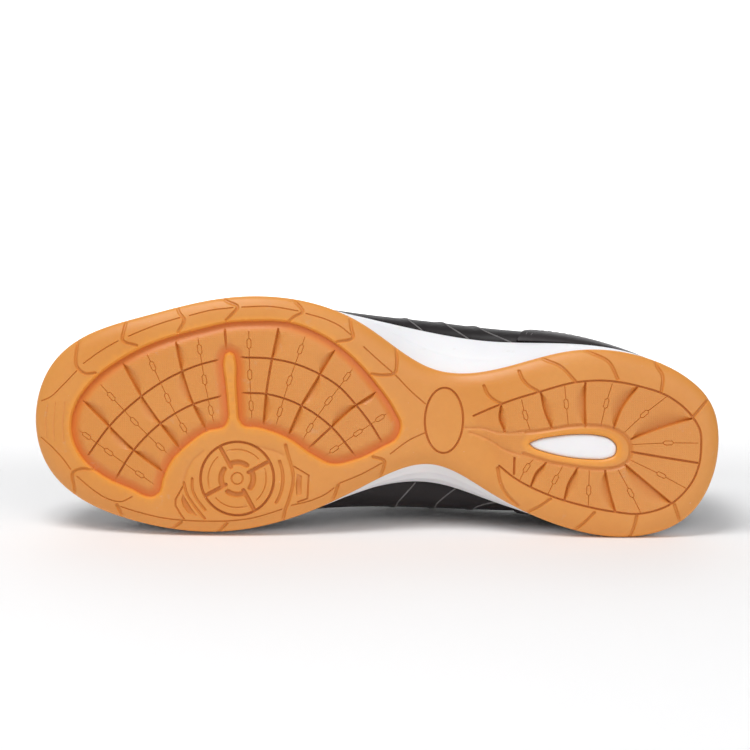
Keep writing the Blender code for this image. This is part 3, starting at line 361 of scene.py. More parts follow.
# Section of the outsole's wall, up and then down inside: share of its lean, further inset,
# and share of its height. The last row is the cup's floor.
WALL_ROWS = [
    (0.0, -0.15 * MM, 0.0), (0.35, 0.0, 0.5), (0.9, 0.0, 0.93), (1.0, 0.5 * MM, 1.0),
    (1.0, CUP_WALL, 1.0), (0.0, CUP_WALL, None),
]

# How far the tread's colours reach from the lines that they follow: the painted highlight along
# the lips, the window and the sole's edge, the painted shade of the moat, and the panels' tone
FIELD_HIGHLIGHT = 1.1 * MM
WINDOW_HIGHLIGHT = 2.0 * MM
RIM_HIGHLIGHT = 1.0 * MM
WALL_HIGHLIGHT = 0.6
MOAT_FADE = 3.4 * MM
PANEL_START = 3.6 * MM

# How finely the tread is meshed
RIM_STEP = 1.5 * MM
RIM_LEVELS = (0.5 * MM, 1.2 * MM, 2.4 * MM, 4.0 * MM, 6.0 * MM, 8.0 * MM)
LINE_STEP = 1.1 * MM
EDGE_STEP = 1.2 * MM
FILL_STEP = 3.0 * MM


def place(along, across):
    """Point in plan of a place given in shares of the sole's length and ball width."""
    return np.array([(0.5 - along) * SOLE_LENGTH, across * BALL_WIDTH])


def places(rows):
    """Points in plan of places given in thousandths of the same shares."""
    return np.array([place(along / 1000, across / 1000) for along, across in rows])


def share_along(x):
    """Share of the sole's length, from the heel, of a place on the X axis."""
    return 0.5 - x / SOLE_LENGTH


def ease(here, there, leave, arrive, t):
    """Smooth way from one value to another, with its slope at both ends."""
    return (here * (2 * t ** 3 - 3 * t ** 2 + 1) + leave * (t ** 3 - 2 * t ** 2 + t)
            + there * (3 * t ** 2 - 2 * t ** 3) + arrive * (t ** 3 - t ** 2))


def follow(rows, column, along):
    """Smooth values of one column of a table at places along the foot."""
    knots = np.array([row[0] for row in rows])
    values = np.array([row[column] for row in rows])
    slopes = np.gradient(values, knots)
    along = np.asarray(along, float)
    low = np.clip(np.searchsorted(knots, along) - 1, 0, len(rows) - 2)
    step = knots[low + 1] - knots[low]
    t = np.clip((along - knots[low]) / step, 0.0, 1.0)
    return ease(values[low], values[low + 1], slopes[low] * step, slopes[low + 1] * step, t)


def closed_spline(points, counts):
    """Cubic spline through a closed row of points, with a count of points per interval."""
    points = np.array(points)
    total = len(points)
    after = np.roll(points, -1, axis=0)
    steps = np.linalg.norm(after - points, axis=1) ** 0.75
    matrix = np.zeros((total, total))
    right = np.zeros((total, 2))
    for i in range(total):
        before, now = steps[i - 1], steps[i]
        matrix[i, i - 1] += before
        matrix[i, i] += 2 * (before + now)
        matrix[i, (i + 1) % total] += now
        right[i] = 6 * ((after[i] - points[i]) / now - (points[i] - points[i - 1]) / before)
    bends = np.linalg.solve(matrix, right)
    result = []
    for i in range(total):
        far = (i + 1) % total
        for j in range(counts[i]):
            b = j / counts[i]
            a = 1.0 - b
            curve = (a ** 3 - a) * bends[i] + (b ** 3 - b) * bends[far]
            result.append(a * points[i] + b * points[far] + curve * steps[i] ** 2 / 6)
    return np.array(result)


def row_loop(rows):
    """The table's rows as one loop: outer side from heel to toe, inner side back."""
    outer = [place(row[0], row[1]) for row in rows]
    inner = [place(row[0], row[2]) for row in rows[-2:0:-1]]
    return outer + inner


def rim_counts(step):
    """How many points each interval of the sole's outline takes at a step."""
    loop = row_loop(SOLE_ROWS)
    return [max(2, round(float(np.linalg.norm(loop[(i + 1) % len(loop)] - loop[i])) / step))
            for i in range(len(loop))]


def inset(points, distance):
    """The closed loop moved inwards, by one distance or by one for each point."""
    tangent = np.roll(points, -1, axis=0) - np.roll(points, 1, axis=0)
    tangent /= np.linalg.norm(tangent, axis=1)[:, None]
    inward = np.column_stack([tangent[:, 1], -tangent[:, 0]])
    return points + inward * np.reshape(distance, (-1, 1))


def smooth_step(value, start, end):
    """Ease from 0 at start to 1 at end."""
    t = np.clip((np.asarray(value, float) - start) / (end - start), 0.0, 1.0)
    return t * t * (3.0 - 2.0 * t)


def lift(x):
    """Height of the outsole's flat underside over the floor."""
    along = share_along(x)
    return follow(LIFT_ROWS, 1, along) * ARCH_LIFT + follow(LIFT_ROWS, 2, along) * TOE_SPRING


def stack(x):
    """Height from the outsole's underside to the midsole's top."""
    knots, heights = zip(*STACK_ROWS)
    return np.interp(share_along(x), knots, heights)


def bumper(x):
    """Share of the toe bumper's full height at a place along the sole."""
    return smooth_step(share_along(x), BUMPER_BACK, BUMPER_FRONT)


def lip_height(x):
    """Height of the outsole's wall, which rises into a bumper at the toe."""
    low = PLATE + LIP
    return low + (stack(x) - BUMPER_DROP - low) * bumper(x)


def lying():
    """Turns the standing shoe's points to where its solids lie, from the record's mounts."""
    mounts = {mount["name"]: mount for mount in frame["record"]["mounts"]}
    heel = Vector(mounts["heel_tread"]["pos_m"])
    ball = Vector(mounts["ball_tread"]["pos_m"])
    up = -Vector(mounts["heel_tread"]["axis"]).normalized()
    heel_flat = Vector((*place(*HEEL_TREAD), 0.0))
    ball_flat = Vector((*place(*PIVOT_PLACE), 0.0))
    there = (heel - ball) - up * (heel - ball).dot(up)
    here = heel_flat - ball_flat
    there_basis = Matrix((there.normalized(), up.cross(there).normalized(), up)).transposed()
    here_up = Vector((0.0, 0.0, 1.0))
    here_basis = Matrix((here.normalized(), here_up.cross(here).normalized(),
                         here_up)).transposed()
    turn = there_basis @ here_basis.transposed()
    middle = (heel + ball) / 2 - turn @ ((heel_flat + ball_flat) / 2)
    return Matrix.Translation(middle) @ turn.to_4x4()


LYING = lying()


def walk(points, step, closed=False):
    """Points at an even step along a smooth curve through a row of points."""
    points = np.asarray(points, float)
    if closed:
        ends = np.vstack([points[-1:], points, points[:2]])
    else:
        ends = np.vstack([2 * points[0] - points[1], points, 2 * points[-1] - points[-2]])
    result = []
    for before, here, there, after in zip(ends, ends[1:], ends[2:], ends[3:]):
        back, chord, ahead = (float(np.linalg.norm(b - a)) for a, b in
                              ((before, here), (here, there), (there, after)))
        leave = ((here - before) / back * chord + (there - here) / chord * back)
        leave *= chord / (back + chord)
        arrive = ((there - here) / chord * ahead + (after - there) / ahead * chord)
        arrive *= chord / (chord + ahead)
        count = max(1, round(chord / step))
        result.append(ease(here, there, leave, arrive, np.arange(count)[:, None] / count))
    if not closed:
        result.append(points[-1:])
    return np.vstack(result)


def nearest(points, line, closed=False):
    """Distance from points to a line in plan, where on it they are, and on which side."""
    ends = np.vstack([line, line[:1]]) if closed else line
    best = np.full(len(points), np.inf)
    where = np.zeros(len(points))
    side = np.zeros(len(points))
    for number, (start, finish) in enumerate(zip(ends, ends[1:])):
        length = float(np.linalg.norm(finish - start))
        way = (finish - start) / length
        t = np.clip((points - start) @ way, 0.0, length)
        gap = points - start - t[:, None] * way
        distance = np.hypot(gap[:, 0], gap[:, 1])
        closer = distance < best
        best[closer] = distance[closer]
        where[closer] = number + t[closer] / length
        side[closer] = np.sign(way[0] * gap[closer, 1] - way[1] * gap[closer, 0])
    return best, where, side


def inside(points, line):
    """Whether each point in plan lies inside a closed line."""
    after = np.roll(line, -1, axis=0)
    result = np.zeros(len(points), bool)
    for a, b in zip(line, after):
        crosses = (a[1] > points[:, 1]) != (b[1] > points[:, 1])
        if crosses.any():
            x = a[0] + (points[crosses, 1] - a[1]) / (b[1] - a[1]) * (b[0] - a[0])
            result[crosses] ^= x > points[crosses, 0]
    return result


def capsule(line, reach):
    """Closed outline at a distance round an open line in plan."""
    ahead = np.diff(line, axis=0)
    ahead = np.vstack([ahead[:1], ahead[:-1] + ahead[1:], ahead[-1:]])
    ahead /= np.linalg.norm(ahead, axis=1)[:, None]
    across = np.column_stack([-ahead[:, 1], ahead[:, 0]]) * reach
    turns = np.radians([-45.0, 0.0, 45.0])[:, None]
    last = line[-1] + reach * ahead[-1] * np.cos(turns) + across[-1] * np.sin(turns)
    first = line[0] - reach * ahead[0] * np.cos(turns) - across[0] * np.sin(turns)
    return np.vstack([line - across, last, (line + across)[::-1], first])


def circle(centre, radius, start, end, count):
    """Points of an arc in plan, with its ends given in degrees."""
    turns = np.radians(np.linspace(start, end, count))
    return centre + radius * np.column_stack([np.cos(turns), np.sin(turns)])


def grid(low, high, step):
    """Points of a staggered grid over a box in plan."""
    rows = np.arange(low[1], high[1], step * 0.87)
    columns = np.arange(low[0], high[0], step)
    return np.array([(x + (number % 2) * step / 2, y) for number, y in enumerate(rows)
                     for x in columns])


class Relief:
    """Underside of the sole: the lines that are cut into it, and its depth at any place."""

    def __init__(self, line, depth_scale):
        self.line = line
        self.depth_scale = depth_scale
        self.corners = []
        self.edges = []
        self.cuts = []
        self.crescents = []
        self.pockets = []

    def trace(self, line, closed=False):
        """Keeps mesh edges along a line in plan."""
        first = len(self.corners)
        count = len(line)
        self.corners += list(line)
        self.edges += [(first + i, first + i + 1) for i in range(count - 1)]
        if closed:
            self.edges.append((first + count - 1, first))

    def groove(self, kind, points, closed=False, straight=False):
        """Cuts a groove of one kind of cross section along a line."""
        floor, wall, depth = (size * MM for size in CUTS[kind][:3])
        line = np.array(points) if straight else walk(points, LINE_STEP, closed)
        self.cuts.append((line, closed, floor, wall, depth * self.depth_scale, CUTS[kind][3]))
        for reach in (floor, floor + wall):
            if reach == 0.0:
                self.trace(line, closed)
            elif closed:
                self.trace(inset(line, reach), True)
                self.trace(inset(line, -reach), True)
            else:
                self.trace(capsule(line, reach), True)

    def crescent(self, line, side):
        """Slopes the ground down to a line from a curve beside it."""
        bulge = CRESCENT_BULGE * float(np.linalg.norm(line[-1] - line[0]))
        t = np.linspace(0.0, 1.0, len(line))[:, None]
        ahead = np.gradient(line, axis=0)
        ahead /= np.linalg.norm(ahead, axis=1)[:, None]
        across = side * np.column_stack([-ahead[:, 1], ahead[:, 0]])
        for share in (0.5, 1.0):
            self.trace(line + across * share * bulge * np.sin(np.pi * t))
        self.crescents.append((line, side, bulge))

    def pocket(self, shape):
        """Sinks a small flat pocket inside a closed outline."""
        self.pockets.append(shape)
        for distance in (0.0, POCKET_SLOPE, -POCKET_SLOPE):
            self.trace(inset(shape, distance), True)

    def cut_depth(self, points):
        """Depth of the grooves and slopes at points in plan, and the painted shade that darkens
        them with depth.
        """
        result = np.zeros(len(points))
        painted_shade = np.zeros(len(points))
        for line, closed, floor, wall, depth, shade_weight in self.cuts:
            reach = floor + wall
            low, high = line.min(axis=0) - reach, line.max(axis=0) + reach
            near = np.all((points > low) & (points < high), axis=1)
            distance = nearest(points[near], line, closed)[0]
            cut = depth * np.clip((reach - distance) / wall, 0.0, 1.0)
            result[near] = np.maximum(result[near], cut)
            # painted shade in the groove, darker where it is deeper
            painted_shade[near] = np.maximum(painted_shade[near], shade_weight * np.clip(cut / SHADE_DEPTH, 0.0, 1.0))
        for shape in self.pockets:
            gap = nearest(points, shape, True)[0]
            sunk = inside(points, shape) * np.minimum(gap / POCKET_SLOPE, 1.0)
            result = np.maximum(result, POCKET_DEPTH * sunk)
            # painted shade in the pockets
            painted_shade = np.maximum(painted_shade, POCKET_SHADE * sunk)
        for line, side, bulge in self.crescents:
            low, high = line.min(axis=0) - bulge, line.max(axis=0) + bulge
            near = np.all((points > low) & (points < high), axis=1)
            gap, where, hand = nearest(points[near], line)
            t = where / (len(line) - 1)
            reach = bulge * np.sin(np.pi * t) + 1e-9
            cut = CRESCENT_DEPTH * self.depth_scale * np.clip(1.0 - gap / reach, 0.0, 1.0) ** 1.2
            cut *= ((hand == side) | (gap < WELD)) & (t > 0.0) & (t < 1.0)
            result[near] = np.maximum(result[near], cut)
            # painted shade on the crescents' slopes
            painted_shade[near] = np.maximum(painted_shade[near], CRESCENT_SHADE * cut / MM)
        return result, np.minimum(painted_shade, 1.0)


def filled(loops, corners, edges, step):
    """Triangles in plan between closed loops, through given corners and edges."""
    everything = np.vstack([corners] + [grid(loops[0].min(axis=0), loops[0].max(axis=0), step)])
    flat, _, faces, _, _, _ = delaunay_2d_cdt([Vector(point / MM) for point in everything], edges,
                                              [], 0, 1e-4)
    flat = np.array([tuple(point) for point in flat]) * MM
    faces = np.array([face for face in faces if len(face) == 3])
    middle = flat[faces].mean(axis=1)
    keep = inside(middle, loops[0])
    for loop in loops[1:]:
        keep &= ~inside(middle, loop)
    faces = faces[keep]
    a, b, c = (flat[faces[:, i]] for i in range(3))
    area = (b - a)[:, 0] * (c - a)[:, 1] - (b - a)[:, 1] * (c - a)[:, 0]
    faces[area < 0] = faces[area < 0][:, ::-1]
    used, faces = np.unique(faces, return_inverse=True)
    return flat[used], faces.reshape(-1, 3)


def border_loops(faces):
    """Loops of the corners along the open borders of triangles."""
    ways = {(int(face[i]), int(face[(i + 1) % 3])) for face in faces for i in range(3)}
    following = {a: b for a, b in ways if (b, a) not in ways}
    loops = []
    while following:
        start, here = next(iter(following.items()))
        loop = [start]
        del following[start]
        while here != start:
            loop.append(here)
            here = following.pop(here)
        loops.append(loop)
    return sorted(loops, key=len, reverse=True)


def tread(depth_scale):
    """The underside's lines and slopes, ready to be meshed."""
    relief = Relief(closed_spline(row_loop(SOLE_ROWS), rim_counts(RIM_STEP)), depth_scale)
    relief.trace(relief.line, True)
    for distance in RIM_LEVELS:
        relief.trace(inset(relief.line, distance)[::2], True)
    field = walk(places(FIELD), EDGE_STEP, True)[::-1]
    for distance in [FIELD_LAND] + [row[0] for row in MOAT_ROWS]:
        relief.trace(inset(field, distance), True)
    window = walk(places(WINDOW), EDGE_STEP, True)[::-1]
    for distance in WINDOW_LEVELS:
        relief.trace(inset(window, -distance), True)
    for arc in FIELD_ARCS:
        relief.groove("arc", places(arc))
    for sides, ray in FIELD_RAYS + HEEL_RAYS:
        add_ray(relief, sides, places(ray))
    for chain in FIELD_CHAINS + HEEL_CHAINS:
        add_chain(relief, places(chain))
    for kind, lines in (("rim line", RIM_LINES), ("notch", FIELD_NOTCHES + HEEL_NOTCHES),
                        ("band", DISC_BANDS), ("step", PIVOT_STEPS), ("ring", [HEEL_RING]),
                        ("window border", [WINDOW_BORDER]), ("waist line", WAIST_LINES)):
        for points in lines:
            relief.groove(kind, places(points))
    turns = np.radians(np.arange(0.0, 360.0, 12.0))
    oval = np.column_stack([np.cos(turns) * OVAL_LENGTH / 2, -np.sin(turns) * OVAL_WIDTH / 2])
    relief.groove("ring", place(*OVAL_PLACE) + oval, closed=True)
    for shape in POCKETS:
        relief.pocket(places(shape))
    for points in POCKET_FRAMES:
        relief.groove("pocket frame", places(points), straight=True)
    for points in TOE_LINES:
        relief.groove("toe line", places(points))
    add_disc(relief)
    return relief, field, window


def add_ray(relief, sides, points):
    """Groove through points, with a crescent beside each of its spans."""
    relief.groove("ray", points)
    line = walk(points, LINE_STEP)
    ends = [int(np.argmin(np.linalg.norm(line - point, axis=1))) for point in points]
    if len(sides) == 1:
        ends = [ends[0], ends[-1]]
    for side, start, finish in zip(sides, ends, ends[1:]):
        part = line[start:finish + 1]
        heelward = 1.0 if part[-1][1] < part[0][1] else -1.0
        if side:
            relief.crescent(part, side * heelward)


def add_chain(relief, points):
    """Thin line across a row of cells, with a small link in the middle of each cell."""
    middles = [(a + b) / 2 for a, b in zip(points, points[1:])]
    if len(points) == 3:
        middles = [points[1]]
    line = walk(points, LINE_STEP)
    ways = np.gradient(line, axis=0)
    ends = [points[0]]
    for middle in middles:
        near = int(np.argmin(np.linalg.norm(line - middle, axis=1)))
        way = ways[near] / np.linalg.norm(ways[near])
        across = np.array([-way[1], way[0]])
        corners = [line[near] + way * a + across * b for a, b in LINK]
        for a, b in zip(corners, corners[1:] + corners[:1]):
            relief.groove("link", [a, b])
        ends += [corners[3], corners[0]]
    ends.append(points[-1])
    for a, b in zip(ends[::2], ends[1::2]):
        relief.groove("link", [a, b])


def add_disc(relief):
    """Turning disc under the ball of the foot, with the arcs round it."""
    centre = place(*PIVOT_PLACE)
    relief.groove("disc", circle(centre, PIVOT_RADIUS, 0.0, -350.0, 36), closed=True)
    relief.groove("hub", circle(centre, HUB_RADIUS, 0.0, -330.0, 12), closed=True)
    for start in DISC_SPOKES:
        relief.groove("spoke", [circle(centre, reach, start, start, 1)[0] for reach in SPOKE_REACH])
        for kind, radius, first, last, count in DISC_ARCS:
            relief.groove(kind, circle(centre, radius, start + first, start + last, count))
    radius, first, last = SIDE_ARC
    relief.groove("side arc", circle(centre, radius, first, last, 9))


def moat_depth(distance):
    """Depth of the sunk field at a distance inside its edge."""
    knots, depths = zip(*MOAT_ROWS)
    return np.interp(distance, knots, depths)


def rim_rise(distance):
    """Height of the bevelled and rounded rim at a distance inside the sole's edge."""
    bevel = BEVEL_RISE * (1.0 - np.minimum(distance / BEVEL_WIDTH, 1.0)) ** RIM_CURVE
    return bevel + RIM_ROUND * (1.0 - np.minimum(distance / RIM_ROUND_REACH, 1.0)) ** 2


def underside(relief, field, window, points):
    """Heights of the tread at points in plan, and the marks that its colours follow: the panels'
    tone, painted shade in the grooves and the moat, and a painted highlight along the lips.
    """
    edge, where, _ = nearest(points, relief.line, True)
    to_field = nearest(points, field, True)[0]
    on_line = to_field < 2 * WELD
    in_field = inside(points, field) | on_line
    to_window = nearest(points, window, True)[0]
    cut, groove = relief.cut_depth(points)
    ground = np.where(in_field, moat_depth(to_field), 0.0)
    depth = np.maximum(ground, np.where(in_field, FIELD_DEPTH, 0.0) + cut)
    lip = WINDOW_LIP * np.clip(1.0 - to_window / WINDOW_LIP_REACH, 0.0, 1.0) ** 2
    heel_panel = inside(points, places(HEEL_RING)) & ~inside(points, places(WINDOW_BORDER))
    # Painted highlight along the field's lips, the window and the sole's edge
    glow = np.exp(-(to_field / FIELD_HIGHLIGHT) ** 2) * (~in_field | on_line)
    glow = np.maximum(glow, np.clip(1.6 - to_window / WINDOW_HIGHLIGHT, 0.0, 1.0))
    # Painted shade in the sunk field's moat, fading inwards from its edge
    moat = np.clip(1.0 - (to_field - MOAT_FLOOR) / MOAT_FADE, 0.0, 1.0)
    marks = {
        "groove": groove,
        "moat": moat * in_field * np.clip(to_field / MOAT_WALL, 0.0, 1.0),
        "panel": np.where(in_field & (to_field > PANEL_START), 1.0, 0.0) + heel_panel,
        "glow": np.maximum(glow, 0.75 * np.exp(-edge / RIM_HIGHLIGHT)),
    }
    return rim_rise(edge) + depth + lip, where, marks


def bridge(polygons, low, high):
    """Adds the faces between two closed rings of corners of equal count."""
    for i in range(len(low)):
        j = (i + 1) % len(low)
        polygons.append((low[i], low[j], high[j], high[i]))


def outsole_mesh(depth_scale):
    """Gum cup with its whole tread, and the marks that its colours follow, painted shade and
    painted highlight among them.
    """
    relief, field, window = tread(depth_scale)
    line = relief.line
    points, faces = filled([line, window], np.array(relief.corners), relief.edges, FILL_STEP)
    heights, where, marks = underside(relief, field, window, points)
    corners = [np.column_stack([points, heights])]
    polygons = [tuple(face[::-1]) for face in faces]
    outer, *holes = border_loops(faces)
    hole = max(holes, key=len)

    lean = WALL_LEAN * (lip_height(line[:, 0]) - PLATE - LIP)
    low = where[outer].astype(int) % len(line)
    share = (where[outer] - where[outer].astype(int))[:, None]
    start = heights[outer] + WALL_START
    top = lip_height(points[outer, 0])
    ring, total = outer, len(points)
    for lean_share, further, rise in WALL_ROWS:
        moved = inset(line, lean_share * lean + further)
        plan = moved[low] * (1.0 - share) + moved[(low + 1) % len(line)] * share
        height = np.full(len(outer), PLATE) if rise is None else start + (top - start) * rise
        corners.append(np.column_stack([plan, height]))
        fresh = list(range(total, total + len(outer)))
        total += len(outer)
        bridge(polygons, ring, fresh)
        ring = fresh

    floor_line = corners[-1][:, :2]
    floor_corners = np.vstack([floor_line, points[hole]])
    floor_edges = []
    for first, count in ((0, len(outer)), (len(outer), len(hole))):
        floor_edges += [(first + i, first + (i + 1) % count) for i in range(count)]
    flat, flat_faces = filled([floor_line, points[hole][::-1]], floor_corners, floor_edges,
                              2 * FILL_STEP)
    corners.append(np.column_stack([flat, np.full(len(flat), PLATE)]))
    polygons += [tuple(int(total + corner) for corner in face) for face in flat_faces]
    total += len(flat)
    corners.append(np.column_stack([points[hole], np.full(len(hole), PLATE)]))
    bridge(polygons, hole, range(total, total + len(hole)))
    corners = np.vstack(corners)
    corners[:, 2] += lift(corners[:, 0])

    mesh = bpy.data.meshes.new("outsole_gum")
    mesh.from_pydata(corners, [], polygons)
    for name, values in marks.items():
        # The walls and the cup's floor get a painted highlight of a fixed share
        everywhere = np.full(len(corners), WALL_HIGHLIGHT if name == "glow" else 0.0)
        everywhere[:len(points)] = values
        layer = mesh.attributes.new(name, "FLOAT", "POINT")
        layer.data.foreach_set("value", everywhere)
    work = bmesh.new()
    work.from_mesh(mesh)
    bmesh.ops.remove_doubles(work, verts=work.verts, dist=FINE_WELD)
    bmesh.ops.dissolve_degenerate(work, edges=work.edges, dist=FINE_WELD)
    bmesh.ops.triangulate(work, faces=[face for face in work.faces if len(face.verts) > 3])
    work.to_mesh(mesh)
    work.free()
    return mesh


# Outline of the upper where it is widest: along, outer, inner (shares as above)
WIDE_ROWS = [
    (0.008, 0.018, 0.018), (0.021, -0.138, 0.180), (0.055, -0.252, 0.310),
    (0.120, -0.348, 0.356), (0.220, -0.423, 0.348), (0.330, -0.449, 0.346),
    (0.420, -0.473, 0.344), (0.520, -0.497, 0.346), (0.620, -0.527, 0.376),
    (0.730, -0.522, 0.438), (0.840, -0.441, 0.406), (0.923, -0.342, 0.311),
    (0.968, -0.217, 0.186), (0.987, -0.010, -0.010),
]
# Line of the instep: along, height (share of INSTEP_HEIGHT), across (share of BALL_WIDTH)
RIDGE_ROWS = [
    (0.12, 1.05, 0.020), (0.20, 1.07, 0.000), (0.30, 1.07, -0.030), (0.40, 0.985, -0.055),
    (0.46, 0.895, -0.065), (0.52, 0.790, -0.068), (0.58, 0.695, -0.066),
    (0.65, 0.600, -0.058), (0.72, 0.532, -0.046), (0.79, 0.485, -0.032),
    (0.848, 0.455, -0.022),
]
# Collar: along, height of its edge (share of HEEL_HEIGHT), how full the section is
COLLAR_ROWS = [
    (0.00, 1.00, 1.10), (0.06, 0.960, 1.15), (0.12, 0.860, 1.35), (0.20, 0.775, 1.70),
    (0.27, 0.770, 1.75), (0.34, 0.850, 1.45), (0.40, 1.020, 1.05), (0.44, 1.170, 0.98),
    (0.50, 1.700, 0.98), (0.60, 2.000, 0.95), (0.75, 2.000, 0.86), (0.86, 2.000, 0.80),
    (1.00, 2.000, 0.80),
]
SECTION_PLACES = [0.125, 0.17, 0.215, 0.26, 0.30, 0.34, 0.375, 0.405, 0.432, 0.46, 0.495,
                  0.53, 0.565, 0.60, 0.628, 0.645, 0.66, 0.68, 0.695, 0.703, 0.73, 0.77, 0.81,
                  0.848]
LINE_POINTS = 16
THROAT_BACK = 0.432
THROAT_ROUND = 0.628
THROAT_FRONT = 0.660
EYESTAY_ROUND = 0.640
EYESTAY_FRONT = 0.704
TONGUE_TOP = 0.392
TONGUE_END = 0.700
TONGUE_EDGE = 0.9 * MM
TONGUE_TAPER = 0.16
TONGUE_TAPER_START = 0.55
# Edge of the heel counter: along, height (share of COUNTER_HEIGHT)
COUNTER_ROWS = [
    (0.000, 1.000), (0.060, 0.975), (0.125, 0.900), (0.170, 0.825), (0.210, 0.755),
    (0.240, 0.715), (0.262, 0.675), (0.278, 0.620), (0.288, 0.555), (0.293, 0.490),
]
COUNTER_TURN = -78.0
EYELET_PLACES = [0.630, 0.594, 0.558, 0.522, 0.486, 0.450]
COLLAR_PADDING = 5.2 * MM
INSOLE_THICKNESS = 3.0 * MM
INSOLE_SIDE_GAP = 2.6 * MM
# Section of the insole's edge upwards: inset, share of its thickness
INSOLE_ROWS = [(0.3 * MM, 0.0), (0.0, 0.1), (0.0, 0.6), (0.5 * MM, 0.86), (1.5 * MM, 1.0)]
# Foam in the heel's window, downwards: inset from the window, height over the ground
ISLAND_ROWS = [
    (0.12 * MM, 5.3 * MM), (0.12 * MM, 2.2 * MM), (0.4 * MM, 1.8 * MM), (1.0 * MM, 1.55 * MM),
    (2.0 * MM, 1.5 * MM),
]
# Rows of the midsole's side, and the widths of its lengthwise lines as shares of its height
SIDE_ROWS = 26
LINE_WIDTHS = (0.045, 0.050, 0.030)

# Ridges that run up the sides of the upper, each with a pale cord of painted highlight on its
# crest: which side, then the place along of the ridge at the lasted edge, where the upper is
# widest, and near the throat
UPPER_RIBS = [
    (-1.0, 0.432, 0.462, 0.548), (-1.0, 0.362, 0.409, 0.502), (-1.0, 0.296, 0.361, 0.457),
    (1.0, 0.436, 0.474, 0.565), (1.0, 0.376, 0.416, 0.510), (1.0, 0.310, 0.360, 0.462),
]
# Rings of a stitch: place along it, size, and depth in the surface, as shares of its radius
STITCH_RINGS = [
    (-1.0, 0.45, -1.1), (-0.7, 0.95, -0.5), (0.0, 1.0, -0.3), (0.7, 0.95, -0.5), (1.0, 0.45, -1.1),
]
STITCH_RADIUS = 0.26 * MM
COUNTER_SEAMS = (2.4 * MM, 4.6 * MM)
EYESTAY_SEAMS = (2.2 * MM, 4.2 * MM)
RIDGE_RISE = 0.2 * MM
RIDGE_SPREAD = 2.0 * MM
RIDGE_FADE = (50.0, 66.0)
# Cord of painted highlight on the ridges' crests: its radius, and how far it sinks
HIGHLIGHT_CORD_RADIUS = 0.32 * MM
HIGHLIGHT_CORD_SINK = 0.1 * MM
LACE_GAP = 0.35 * MM
LACE_STEP = 1.6 * MM
LACE_MIDDLE = 0.3 * MM
# Creases where the foot bends: place along, place at the edge, depth, width
FLEX_CREASES = [
    (0.672, 0.655, 0.45 * MM, 2.4 * MM), (0.705, 0.695, 0.60 * MM, 2.8 * MM),
    (0.738, 0.735, 0.40 * MM, 2.4 * MM), (0.768, 0.770, 0.25 * MM, 2.0 * MM),
]


def solid_from(rings, caps_step):
    """Closed mesh through rings of equal count, with a gridded face over each end."""
    corners = [np.vstack(rings)]
    count = len(rings[0])
    polygons = []
    for layer in range(len(rings) - 1):
        for i in range(count):
            j = (i + 1) % count
            low, high = layer * count, (layer + 1) * count
            polygons.append((low + j, low + i, high + i, high + j))
    total = len(corners[0])
    for ring, upward in ((rings[0], False), (rings[-1], True)):
        flat = ring[:, :2]
        edges = [(i, (i + 1) % count) for i in range(count)]
        points, faces = filled([flat], flat, edges, caps_step)
        distance, where, _ = nearest(points, flat, True)
        heights = np.full(len(points), ring[:, 2].mean())
        on_edge = distance < ON_EDGE
        low = where.astype(int) % count
        share = where - where.astype(int)
        edge_heights = ring[low, 2] * (1 - share) + ring[(low + 1) % count, 2] * share
        heights[on_edge] = edge_heights[on_edge]
        corners.append(np.column_stack([points, heights]))
        for face in faces:
            face = face if upward else face[::-1]
            polygons.append(tuple(int(total + corner) for corner in face))
        total += len(points)
    return np.vstack(corners), polygons


def finished(name, corners, polygons):
    """Mesh of corners and polygons, welded and turned outwards."""
    mesh = bpy.data.meshes.new(name)
    mesh.from_pydata([tuple(corner) for corner in corners], [], polygons)
    work = bmesh.new()
    work.from_mesh(mesh)
    bmesh.ops.remove_doubles(work, verts=work.verts, dist=WELD)
    bmesh.ops.dissolve_degenerate(work, edges=work.edges, dist=WELD)
    bmesh.ops.recalc_face_normals(work, faces=work.faces)
    work.to_mesh(mesh)
    work.free()
    return mesh


def with_island(corners, polygons):
    """Adds the smooth foam island that fills the heel's window, closed on its own."""
    window = walk(places(WINDOW), EDGE_STEP, True)[::-1]
    rings = []
    for distance, height in ISLAND_ROWS:
        rings.append(np.column_stack([inset(window, distance), np.full(len(window), height)]))
    more, faces = solid_from(rings[::-1], FILL_STEP)
    more[:, 2] = np.where(more[:, 2] < PLATE, more[:, 2], PLATE + FIT)
    shift = len(corners)
    polygons = polygons + [tuple(shift + corner for corner in face) for face in faces]
    return np.vstack([corners, more]), polygons


